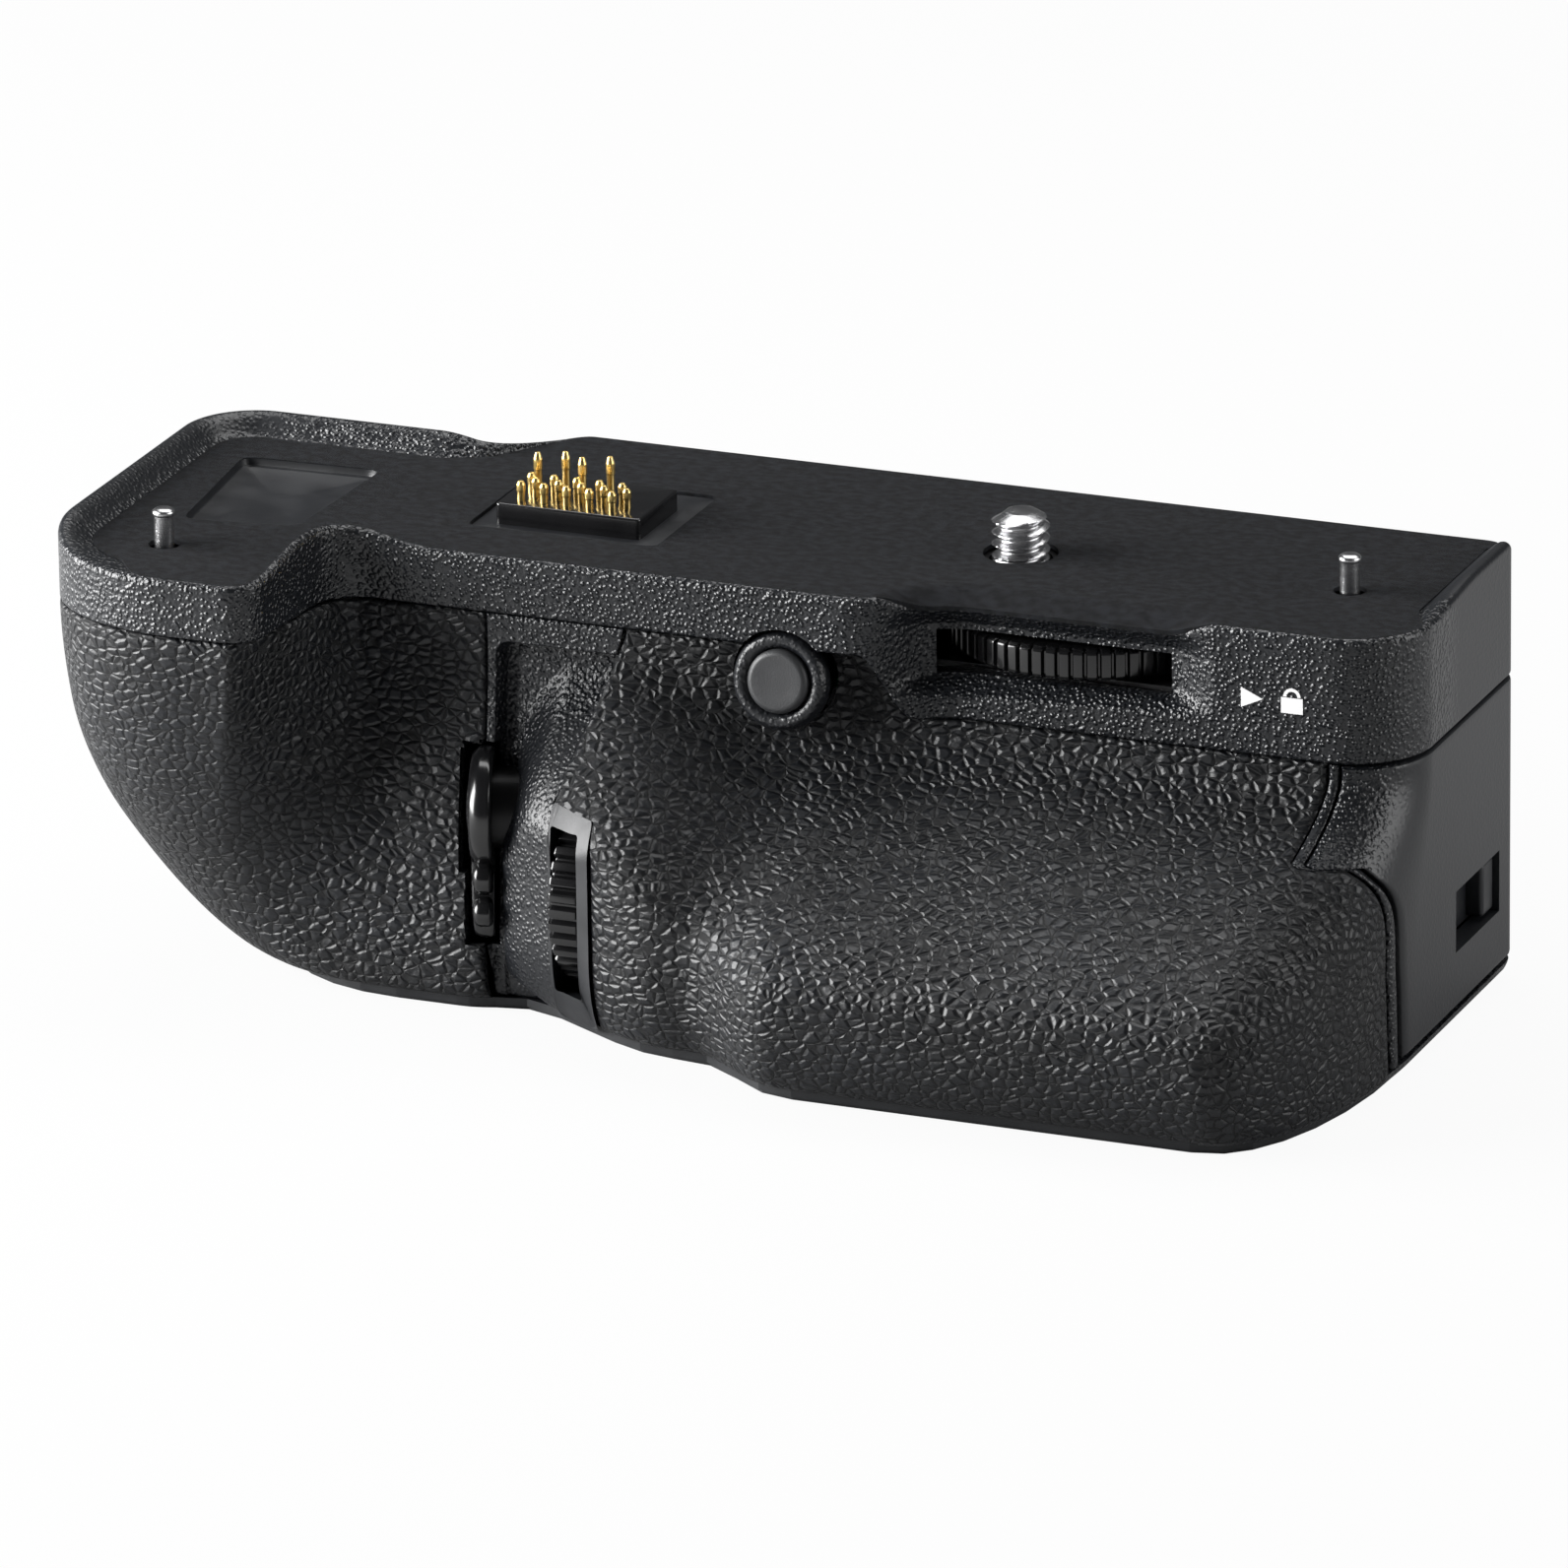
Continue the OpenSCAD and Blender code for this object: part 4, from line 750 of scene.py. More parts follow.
class GRIP_OT_finishes(bpy.types.Operator):
    """Makes the materials that the pieces share."""
    bl_idname = "grip.finishes"
    bl_label = "Finishes"

    def execute(self, context):
        sizes, colours = context.scene.grip_sizes, context.scene.grip_colours
        stipple, leather, haze = stipple_group(), leather_group(), haze_group()
        FINISHES.update(
            plastic=stippled_plastic("Stippled plastic", colours.plastic, sizes, stipple),
            rubber=leather_rubber("Grained rubber", colours.rubber, sizes, leather),
            flock=flock("Flocked pad", colours.pad, haze),
            satin=plain_finish("Satin plastic", colours.plastic, haze, 0.42, depth=0.00001),
            gloss=plain_finish("Gloss plastic", colours.gloss, haze, 0.2, coat=0.3),
            button=plain_finish("Button plastic", colours.button, haze, 0.5, depth=0.00002),
            steel=plain_finish("Turned steel", colours.steel, haze, 0.24, 1.0, 0.08, 0.002, 0.000006,
                               (1, 1, 8)),
            black_steel=plain_finish("Blackened steel", colours.gloss, haze, 0.4, 0.6),
            gold=plain_finish("Gold plate", colours.gold, haze, 0.3, 1.0, 0.08),
            brass=plain_finish("Turned brass", (0.6, 0.45, 0.2), haze, 0.3, 1.0),
            ink=plain_finish("White ink", colours.ink, haze, 0.6, spread=0.03),
            board=plain_finish("Circuit board", (0.02, 0.12, 0.06), haze, 0.4),
            battery=plain_finish("Battery wrap", (0.06, 0.06, 0.065), haze, 0.45))
        return {"FINISHED"}


class GRIP_OT_band(bpy.types.Operator):
    """Builds the moulded band round the deck with its lips and the hollow at the lock dial."""
    bl_idname = "grip.band"
    bl_label = "Band"

    def execute(self, context):
        edge = context.scene.grip_sizes.edge_round / MM
        points, faces = band_surface(edge)
        piece = add_piece("band", points, faces, FINISHES["plastic"], "grip", "stippled", ("top_case",))
        mark_grain(piece, lambda x, y, z: 1 - 0.92 * ease((y + 4) / 6) * (x > 30)
                   - 0.7 * ease((-80 - x) / 12) * ease((z + 0.2) / 0.8))
        return {"FINISHED"}


def hollow(x):
    """Share of the hollow at the lock dial over x: slopes at both ends, full between them."""
    return ramp((x + 8.8) / 4.6) * ramp((27.2 - x) / 5.2)


def scoop(x, z):
    """Depth of the hollow at the lock dial: a roof under the deck's edge, a flat back and a ledge."""
    roof = blend(0.7, 2.3, ramp((-1.6 - z) / 2.2))
    ledge = ramp((z + 11.4 - 0.035 * (x + 7)) / 1.9)
    return hollow(x) * roof * ledge


def at_front(x, y):
    """Tells the band's front beside the lock dial from its rear."""
    return (y < -10) & (x > -20) & (x < 38)


def edge_height(x, y):
    """Height of the band's top edge: raised lips at the two ends, a dip at the hollow."""
    lips = ease((y + 38) / 13) * ease((-59 - x) / 12)
    lips = lips + 0.6 * ease((y + 9) / 17) * ease((x - 44) / 3) * ease((REAR - 0.8 - y) / 3)
    return LIP * lips - 1.45 * hollow(x) * at_front(x, y)


def pad_inset(x, y):
    """Distance of the pad from the band's outer face: little at the front, more behind the lips."""
    left = ease((-62 - x) / 8) * np.maximum(ease((-84 - x) / 6), ease(y / 6))
    return 0.5 + 3.1 * left + 2.2 * ease((x - 46) / 2) * ease((y + 9) / 6)


def band_surface(edge):
    """Shell of the band: lower edge, outer wall with the hollow and the dial's slot, rounded top
    edge, and a lip that slopes down under the pad."""
    line = band_outline(1500)
    normal = inward(line)
    x, y = line.T
    bottom, top, rim = seam(x), edge_height(x, y), pad_inset(x, y)
    raised = np.maximum(top, 0)
    turn = np.linspace(0, np.pi / 2, 6)
    low_edge = 0.35
    slot_z = (-9.25, -4.45)
    marks = [(z - SKIRT_Z - low_edge) / (-SKIRT_Z - low_edge - edge) for z in slot_z]
    wall = np.concatenate([np.linspace(0, marks[0], 20), np.linspace(*marks, 16)[1:],
                           np.linspace(marks[1], 1, 22)[1:-1]])
    rows = [(low_edge * (1 - np.sin(t)) + 0 * x, bottom + low_edge * (1 - np.cos(t))) for t in turn]
    rows += [(0 * x, np.minimum(blend(bottom + low_edge, raised - edge, t),
                                top - edge - 0.3 * (1 - t))) for t in wall[1:]]
    rows += [(edge * (1 - np.cos(t)) + 0 * x, top - edge * (1 - np.sin(t))) for t in turn]
    rows += [(np.maximum(blend(edge, rim + 0.6, t), edge),
              top - (raised + 0.3) * ease(t)) for t in np.linspace(0, 1, 10)[1:]]
    inset = np.array([row[0] for row in rows])
    height = np.array([row[1] for row in rows])
    deep = np.where(at_front(x, y), scoop(x, height), 0)
    behind = np.maximum(inset + 0.9, 2.0) + deep
    outer = np.concatenate([line + (inset + deep)[..., None] * normal, height[..., None]], 2)
    inner = np.concatenate([line + behind[..., None] * normal,
                            np.minimum(height, -1.0 + np.minimum(top, 0))[..., None]], 2)
    cx, cy, cz = cell_middles(outer, True).transpose(2, 0, 1)
    slot = at_front(cx, cy) & (cx > -4.1) & (cx < 21.6) & (cz > slot_z[0]) & (cz < slot_z[1])
    hole = (cy < -10) & (np.hypot(cx - FN[0], cz - FN[2]) < FN_HOLE)
    outer, inner = (round_hole(layer, hole, FN[0], FN[2], FN_HOLE) for layer in (outer, inner))
    return shell(outer, inner, ~(slot | hole), True)


class GRIP_OT_deck(bpy.types.Operator):
    """Finishes the flocked pad and builds the storage pocket, connector plate and block."""
    bl_idname = "grip.deck"
    bl_label = "Deck"

    def execute(self, context):
        corners = np.array([[-89.7, 1.4], [-87.4, -19.8], [-74.9, -18], [-73.9, 2.1]])
        pocket = resample(rounded_profile(np.vstack([corners[-1:], corners, corners[:1]]), 1.6)[1:-1], 160)
        add_piece("pocket", *tray(pocket, -0.1, -0.9, 0.2), FINISHES["satin"], "grip", "smooth_plastic")
        low, high = node_box("connector_plate")
        add_piece("pad", *pad_surface(pocket, box_outline(low[:2] - 0.1, high[:2] + 0.1, 1.0)),
                  FINISHES["flock"], "grip", "flock",
                  ("deck_pad",))
        add_piece("contact_plate", *slab(box_outline(low[:2], high[:2], 1.0), low[2], high[2], 0.15),
                  FINISHES["satin"], "grip", "smooth_plastic", ("connector_plate",))
        low, high = node_box("connector_block")
        add_piece("contact_block", *slab(box_outline(low[:2], high[:2], 0.5), low[2], high[2], 0.25),
                  FINISHES["gloss"], "grip", "gloss_black", ("connector_block",))
        return {"FINISHED"}


def pad_surface(pocket, plate):
    """Pad cut to the band's plan, with holes for pocket, plate, screw and pins; its front edge bends
    down at the hollow of the lock dial."""
    line = band_outline(900)
    outline = line + pad_inset(*line.T)[:, None] * inward(line)
    holes = [pocket, resample(plate, 120), arc((0, 0), 4.0, 0, 354, 60)]
    holes += [arc(at, 1.75, 0, 350, 36) for at in ((-85.7, -28.1), (36.6, 0.1))]
    coarse = np.stack(np.meshgrid(np.arange(LEFT, RIGHT, 3.0), np.arange(LOBE, REAR, 3.0)), -1).reshape(-1, 2)
    fine = np.stack(np.meshgrid(np.arange(-12, 31, 0.5), np.arange(SKIRT - 4, -8, 0.4)), -1).reshape(-1, 2)

    def top(x, y):
        front = blend(CENTRE, SKIRT, ease((x - STEP_FALL[0]) / (STEP_FALL[1] - STEP_FALL[0])))
        return -1.35 * hollow(x) * at_front(x, y) * ramp((front + 4.2 - y) / 3.4) ** 1.5
    return sheet([outline, *holes], np.vstack([coarse, fine]), top, 0.5)


def tray(outline, top, floor, edge):
    """Shallow tray: rim, rounded wall down to the floor, and the same form below it."""
    normal = inward(outline)
    rows = [(-0.5, top), (0.0, top), (0.1, floor + edge), (0.1 + edge * 0.4, floor + edge * 0.25),
            (0.1 + edge, floor)]
    rings = [np.concatenate([outline + d * normal, np.full((len(outline), 1), z)], 1) for d, z in rows]
    middle = outline.mean(0)
    centre = np.tile([*middle, floor], (len(outline), 1))
    under = np.tile([*middle, floor - 0.4], (len(outline), 1))
    last = np.concatenate([outline - 0.5 * normal, np.full((len(outline), 1), floor - 0.4)], 1)
    return tube(np.array([*rings, centre, under, last, rings[0]]))


class GRIP_OT_contacts(bpy.types.Operator):
    """Turns the plated contact pins."""
    bl_idname = "grip.contacts"
    bl_label = "Contacts"

    def execute(self, context):
        tall = [(-53.4, -3.4), (-50.7, -2.2), (-48.3, -3.4), (-45.6, -2.2)]
        short = [(-53.6 + 2.6 * i + 1.1 * (row % 2), -7.6 + 1.45 * row) for row in range(3) for i in range(5)]
        for name, node, places, top, neck, tip in (("tall_contacts", "contacts_tall", tall, 6.1, 2.0, 0.8),
                                                   ("short_contacts", "contacts_short", short, 4.2, 1.2,
                                                    0.4)):
            pin = rounded_profile([(0, -4), (0.42, -4), (0.42, top - neck), (0.48, top - neck + 0.1),
                                   (0.48, top - tip),
                                   (0.26, top), (0.0, top)], 0.08, 4)
            parts = [turned(pin, (x, y, 0), (0, 0, 1), 20) for x, y in places]
            add_piece(name, *joined(*parts), FINISHES["gold"], "grip", "gold", (node,))
        return {"FINISHED"}


class GRIP_OT_pins(bpy.types.Operator):
    """Turns the two domed guide pins."""
    bl_idname = "grip.pins"
    bl_label = "Guide pins"

    def execute(self, context):
        top = node_box("guide_pins")[1][2]
        pin = rounded_profile([(0, -4.8), (1.3, -4.8), (1.3, -0.7), (1.05, -0.7), (1.05, top - 0.85),
                               (1.2, top - 0.75), (1.2, top - 0.35), (0.8, top - 0.08), (0, top)], 0.35, 5)
        parts = [turned(pin, (x, y, 0), (0, 0, 1), 40) for x, y in ((-85.7, -28.1), (36.6, 0.1))]
        add_piece("guide_pins_turned", *joined(*parts), FINISHES["steel"], "grip", "steel", ("guide_pins",))
        return {"FINISHED"}


class GRIP_OT_camera_screw(bpy.types.Operator):
    """Cuts the camera screw with its thread."""
    bl_idname = "grip.camera_screw"
    bl_label = "Camera screw"

    def execute(self, context):
        pitch = context.scene.grip_sizes.thread_pitch / MM
        low, high = node_box("mount_screw")
        top, outer = high[2], 3.1

        def radius(r, h, angle):
            """Thread flanks as a triangle wave that climbs one pitch per turn, under the blank."""
            phase = (h / pitch - angle / (2 * np.pi)) % 1
            groove = 0.78 * np.clip(1.25 - 2.5 * np.abs(phase - 0.5), 0, 1)
            cut = ease((h + 0.6) / 0.5)
            return np.minimum(r, np.maximum(r - groove * cut * (r > 1.5), 0))
        heights = np.linspace(-0.7, top - 0.7, 70)
        blank = [(0, low[2]), (3.15, low[2]), (3.15, -0.9)] + [(outer, h) for h in heights]
        blank += [(outer - 0.15, top - 0.45), (2.2, top - 0.04), (2.0, top), (1.2, top), (0, top)]
        add_piece("camera_screw", *turned(blank, (0, 0, 0), (0, 0, 1), 96, radius), FINISHES["steel"],
                  "screw", "steel",
                  ("mount_screw",), 50)
        return {"FINISHED"}


class GRIP_OT_lock_dial(bpy.types.Operator):
    """Builds the ribbed lock dial."""
    bl_idname = "grip.lock_dial"
    bl_label = "Lock dial"

    def execute(self, context):
        low, high = node_box("lock_dial")
        centre = (low + high) / 2
        size = (high[0] - low[0]) / 2
        count = context.scene.grip_sizes.lock_ribs
        groove = ribs(count, 0.55)
        add_piece("lock_wheel", *wheel(size, high[2] - low[2], 10.9, 0.35, groove, centre, (0, 0, 1),
                                       count * 16),
                  FINISHES["gloss"], "lock_dial", "gloss_black", ("lock_dial",))
        return {"FINISHED"}


def wheel(size, width, bore, edge, groove, centre, axis, steps):
    """Ribbed wheel with a bore: rounded rim whose radius drops by the groove depth between ribs."""
    half = width / 2
    profile = rounded_profile([(bore, -half), (size - edge * 1.3, -half), (size, -half + edge),
                               (size, half - edge),
                               (size - edge * 1.3, half), (bore, half), (bore, -half)], 0.18, 4)

    def radius(r, h, angle):
        return r - groove(angle) * ease((r - size + 1.4) / 0.8)
    return turned(profile, centre, axis, steps, radius)


class GRIP_OT_lower_case(bpy.types.Operator):
    """Builds the lower case with its openings, and the strip beside the battery door."""
    bl_idname = "grip.lower_case"
    bl_label = "Lower case"

    def execute(self, context):
        points, faces = case_surface()
        piece = add_piece("case", points, faces, FINISHES["plastic"], "grip", "stippled", ("lower_case",), 35)
        mark_grain(piece, lambda x, y, z: 0.85 + 0 * x)
        points, faces = strip_surface()
        piece = add_piece("door_strip", points, faces, FINISHES["plastic"], "grip", "stippled")
        mark_grain(piece, lambda x, y, z: 0.8 + 0 * x)
        return {"FINISHED"}


def case_surface():
    """Wall of the lower case round the whole plan, inset under the covers and the door, with windows
    for the battery bay, the release panel, the buttons and the rear dial."""
    v = np.linspace(0, 1, 100)[:, None]

    def ring(d_front, d_end, d_rear):
        """Rows of plan rings from the seam to the foot."""
        def level(x):
            return blend(seam(x) - 0.1, CASE_FOOT, v)
        x1 = np.linspace(0, 1, 120)[None]
        z = level(np.full((1, 40), LEFT))
        corner = np.linspace(112, 180, 40)[None]
        under = d_rear + (d_front - d_rear) * ease((corner - 113) / 2)
        parts = [left_rear_point(corner, z, under)]
        z = level(np.full((1, 50), LEFT))
        parts.append(left_point(np.linspace(0, 88, 50)[None], z, d_front))
        guess = blend(LEFT + 17, 38.5, np.linspace(0, 1, 320)[None])
        z = level(guess)
        x = blend(body_left(z) + LOBE_CORNER[0], corner_centre(z)[0] - 0.5, np.linspace(0, 1, 320)[None])
        parts.append(front_point(x, z, d_front))
        z = level(np.full((1, 40), RIGHT))
        end = np.where(z > -45.4, d_end, 0.05)
        parts.append(corner_point(np.linspace(89, 0, 40)[None], z, end))
        z = level(np.full((1, 120), RIGHT))
        end = np.where(z > -45.4, d_end, 0.05)
        y = blend(corner_centre(z)[1] + 0.2, HINGE[1] - 0.2, x1)
        parts.append(np.stack(np.broadcast_arrays(RIGHT - foot_roll(z) - end, y, z), -1))
        z = level(np.full((1, 24), RIGHT))
        end = np.where(z > -45.4, d_end, 0.05)
        a = np.radians(np.linspace(0, 90, 24))[None]
        parts.append(np.stack(np.broadcast_arrays(
            HINGE[0] + (REAR_CORNER - end - foot_roll(z)) * np.cos(a),
            HINGE[1] + (REAR_CORNER - d_rear - foot_roll(z)) * np.sin(a), z), -1))
        guess = np.linspace(HINGE[0] - 0.3, LEFT + LOBE_REAR + 0.3, 330)[None]
        z = level(guess)
        x = blend(HINGE[0] - 0.3, body_left(z) + LOBE_REAR + 0.2, np.linspace(0, 1, 330)[None])
        parts.append(np.stack(np.broadcast_arrays(x, rear_line(x) - d_rear - foot_roll(z), z), -1))
        z = level(np.full((1, 16), LEFT))
        parts.append(left_rear_point(np.linspace(90, 111, 16)[None], z, d_rear))
        return np.concatenate(parts, 1)
    outer, inner = ring(COVER + 0.35, DOOR + 0.75, 0.0), ring(COVER + 2.35, DOOR + 2.75, 2.0)
    x, y, z = cell_middles(outer, True).transpose(2, 0, 1)
    keep = ~lever_room(cell_middles(outer, True)) & ~lever_room(cell_middles(inner, True))
    keep &= ~((x > 42) & (y > -7.6) & (y < 16.6) & (z > -41.4) & (z < -14.6))
    keep &= ~((y < -13) & (x > -52.6) & (x < -35.1))
    keep &= ~((y < -10) & (np.hypot(x - FN[0], z - FN[2]) < FN_HOLE))
    rear = y > 14
    keep &= ~(rear & (np.abs(x + 44) < 3.2) & (np.abs(z + 17) < 6.6))
    for px, pz, size in ((-28, -15, 3.5), (-24.5, -27, 3.5), (-35, -30, 5.0)):
        hole = rear & (np.hypot(x - px, z - pz) < size)
        keep &= ~hole
        outer, inner = round_hole(outer, hole, px, pz, size), round_hole(inner, hole, px, pz, size)
    return shell(outer, inner, keep, True)


def round_hole(grid, hole, px, pz, size):
    """Grid points on the edge of a hole moved onto its circle in x and z."""
    inside = np.zeros(grid.shape[:2], bool)
    outside = np.zeros(grid.shape[:2], bool)
    cells = hole.shape[1]
    for rows in (slice(0, -1), slice(1, None)):
        for near in (hole, np.roll(hole, 1, 1)):
            inside[rows, :cells] |= near
            outside[rows, :cells] |= ~near
    rim = inside & outside
    moved = grid.copy()
    dx, dz = grid[..., 0] - px, grid[..., 2] - pz
    scale = size / np.maximum(np.hypot(dx, dz), 1e-6)
    moved[..., 0] = np.where(rim, px + dx * scale, grid[..., 0])
    moved[..., 2] = np.where(rim, pz + dz * scale, grid[..., 2])
    return moved


def grip_reach(z):
    """How far the grip cover goes round the right corner, in degrees from the front: nothing above
    the door's lower corner, then a quick step and a slow approach to the end face."""
    return 32 * ease((-22.2 - z) / 0.7) + 46 * (1 - np.exp(-np.clip(-22.6 - z, 0, None) / 3.2))


def door_reach(z):
    """Where the door starts, in degrees from the front: past the cover by the strip's width."""
    return grip_reach(z) + blend(11, 6.5, ease((-21.5 - z) / 3))


def strip_surface():
    """Low bead between grip cover and door: a rounded profile carried down the corner."""
    z = np.linspace(SKIRT_Z - 0.15, COVER_FOOT + 0.9, 240)[:, None]
    t = np.linspace(0, 1, 15)[None]
    a = 90 - blend(grip_reach(z) + 1.2, door_reach(z) - 1.8, t)
    crown = roll(0.5, np.abs(t * 2 - 1))
    return shell(corner_point(a, z, 0.12 + crown), corner_point(a, z, 2.0))


class GRIP_OT_covers(bpy.types.Operator):
    """Builds the grained rubber covers of the left lobe, the hand grip and the thumb rest."""
    bl_idname = "grip.covers"
    bl_label = "Rubber covers"

    def execute(self, context):
        for name, surface, node in (("lobe_cover", lobe_cover(), "left_cover"),
                                    ("grip_cover", grip_cover(), "hump_cover"),
                                    ("thumb_pad", thumb_pad(), "thumb_cover")):
            add_piece(name, *surface, FINISHES["rubber"], "grip", "grained_rubber", (node,), 60)
        return {"FINISHED"}


def edge_drop(distance, size=0.55):
    """Inward roll of a cover near its edge, from the distance to that edge."""
    return roll(size * 0.8, 1 - distance / size)


def lobe_cover():
    """Cover of the left lobe: from the rear corner round the end and along the front to the panel."""
    z = np.linspace(SEAM_Z - 0.12, COVER_FOOT, 120)[:, None]
    sides = edge_drop(np.minimum(SEAM_Z - 0.12 - z, z - COVER_FOOT))

    def layer(depth):
        rear = np.linspace(113.5, 180, 44)[None]
        rear_edge = np.maximum(sides, edge_drop((rear - 113.5) * 0.14))
        first = left_rear_point(rear, z, np.maximum(depth, rear_edge if depth == 0 else depth))
        second = left_point(np.linspace(0, 88, 70)[None], z,
                            np.maximum(depth, sides if depth == 0 else depth))
        x = blend(body_left(z) + LOBE_CORNER[0], panel_edge(z) - 0.12, np.linspace(0, 1, 150)[None])
        drop = np.maximum(sides, edge_drop(panel_edge(z) - 0.12 - x)) if depth == 0 else depth
        return np.concatenate([first, second, front_point(x, z, np.maximum(depth, drop))], 1)
    outer, inner = layer(0), layer(COVER)
    return shell(outer, inner, ~(lever_room(cell_middles(outer)) | lever_room(cell_middles(inner))))


def grip_left(z):
    """Left edge of the grip cover: slants beside the release panel, then clears the dial's frame."""
    return np.where(z > -22.3, blend(-37, -40.6, (z + 8) / -14.3),
                    blend(-40.6, -35.1, ease((-22.3 - z) / 0.6)))


def grip_cover():
    """Cover of the hand grip: from the panel along the front and round the right corner."""
    v = np.linspace(0, 1, 130)[:, None]
    share = np.linspace(0, 1, 260)[None]
    z_front = blend(seam(blend(-37, 39, share)) - 0.12, COVER_FOOT, v)
    z_corner = blend(np.full((1, 70), SKIRT_Z - 0.12), COVER_FOOT, v)
    turn = np.linspace(0, 1, 70)[None]

    def layer(depth):
        x = blend(grip_left(z_front), corner_centre(z_front)[0] - 0.4, share)
        room = np.minimum(np.minimum(z_front[:1] - z_front, z_front - COVER_FOOT), x - grip_left(z_front))
        right = np.radians(grip_reach(z_front)) * 12 + corner_centre(z_front)[0] - x
        first = front_point(x, z_front, depth if depth else edge_drop(np.minimum(room, right)))
        room = np.minimum(z_corner[:1] - z_corner, z_corner - COVER_FOOT)
        right = np.radians(grip_reach(z_corner)) * 12 * (1 - turn)
        second = corner_point(90 - grip_reach(z_corner) * turn, z_corner,
                              depth * 1.4 if depth else edge_drop(np.minimum(room, right)))
        return np.concatenate([first, second], 1)
    outer, inner = layer(0), layer(COVER)
    x, _, z = ((outer[:-1, :-1] + outer[1:, 1:]) / 2).transpose(2, 0, 1)
    hole = np.hypot(x - FN[0], z - FN[2]) < FN_HOLE
    outer, inner = (round_hole(layer, hole, FN[0], FN[2], FN_HOLE) for layer in (outer, inner))
    return shell(outer, inner, ~hole)


def thumb_pad():
    """Crowned pad on the rear: rings of a rounded rectangle raised by a shallow arch."""
    low, high = node_box("thumb_cover")
    outline = resample(box_outline(low[[0, 2]], high[[0, 2]], 5.0, 16), 240)
    middle = outline.mean(0)
    rings = []
    for k in np.concatenate([np.linspace(0, 0.9, 20), np.linspace(0.92, 1, 12)]):
        ring = blend(middle, outline, k)
        height = 1.2 - (ring[:, 1] - middle[1]) ** 2 / 180 - roll(0.9, (k - 0.93) / 0.07)
        rings.append(np.stack([ring[:, 0], REAR + np.maximum(height, 0.02), ring[:, 1]], 1))
    base = [np.stack([outline[:, 0], np.full(len(outline), REAR - 0.3), outline[:, 1]], 1),
            np.tile([middle[0], REAR - 0.3, middle[1]], (len(outline), 1))]
    return tube(np.array(rings + base))


class GRIP_OT_release_panel(bpy.types.Operator):
    """Builds the panel behind the release button and the frame of the front dial."""
    bl_idname = "grip.release_panel"
    bl_label = "Release panel"

    def execute(self, context):
        piece = add_piece("release_nose", *panel_surface(), FINISHES["plastic"], "grip", "stippled",
                          ("release_panel",))
        mark_grain(piece, lambda x, y, z: np.where(y < -22, 0.5, 0.9))
        add_piece("dial_frame", *dial_frame(), FINISHES["satin"], "grip", "gloss_black", ("front_bezel",))
        return {"FINISHED"}


def panel_front(x, z):
    """Front of the release panel: a flush rim, a shallow recess with a rounded corner behind it, and
    a nose that swells out of the recess going down, rounded on its left and cut away at its foot."""
    rim = valley(z) + foot_roll(z)
    strip = np.minimum(panel_edge(z) + 1.0, -50.3)
    near = np.minimum(x - strip, -9.2 - z)
    corner = 1.6 - np.hypot(np.clip(1.6 - (x - strip), 0, None), np.clip(1.6 - (-9.2 - z), 0, None))
    inside = np.where((x - strip < 1.6) & (-9.2 - z < 1.6), corner, near)
    recess = rim + 1.9 * ramp(inside / 0.7)
    swell = crest(x) + hump_roll(z) + roll(1.65, (NOSE + 3.6 - x) / 3.6)
    foot = blend(-43.0, -46.6, (x - NOSE) / 6.5)
    swell = swell + 3.5 * ease((foot - z) / 2.0)
    nose = blend(recess, swell, ease((-18 + 7 * ease((x + 51) / 8) - z) / 16))
    return blend(recess, np.minimum(nose, recess + 0.3), ease((x - NOSE) / 0.35))


def panel_right(z):
    """Right edge of the panel, along the grip cover and then the dial's frame."""
    return np.where(z > -22.3, grip_left(z) - 0.12, -40.95)


def panel_surface():
    """Plate whose front is panel_front; its columns crowd at the recess wall and the nose's edge."""
    z = np.concatenate([np.linspace(SEAM_Z - 0.12, -8.4, 8), np.linspace(-8.5, -11, 24),
                        np.linspace(-11.3, CASE_FOOT + 0.05, 110)])[:, None]
    edge = panel_edge(z)
    strip = np.maximum(np.minimum(edge + 1.1, -50.3), edge + 0.05)
    s = np.linspace(0, 1, 40)[None]
    x = np.concatenate([blend(edge, strip, s[:, ::6]), blend(strip, strip + 1.7, s[:, 1::2]),
                        blend(strip + 1.75, NOSE - 0.02, s[:, ::4]),
                        blend(np.full_like(z, NOSE), NOSE + 0.36, s[:, ::3]),
                        blend(0 * z + NOSE + 0.45, NOSE + 3, s[:, ::2]),
                        blend(NOSE + 3.1, panel_right(z), s[:, ::2])], 1)
    room = np.minimum(np.minimum(x - edge, panel_right(z) - x), np.minimum(z[0] - z, z - z[-1]))
    front = np.stack(np.broadcast_arrays(x, panel_front(x, z) + edge_drop(room, 0.3), z), -1)
    back = np.stack(np.broadcast_arrays(x, np.maximum(panel_front(x, z), panel_front(x - 2, z)) + 2, z), -1)
    middle = cell_middles(front)
    off = middle - RELEASE
    along = off @ RELEASE_AXIS
    reach = np.linalg.norm(off - along[..., None] * RELEASE_AXIS, axis=-1)
    button_hole = (reach < BUTTON_HOLE) & (middle[..., 0] < NOSE + 0.5)
    return shell(front, back, ~(lever_room(middle) | lever_room(cell_middles(back)) | button_hole))


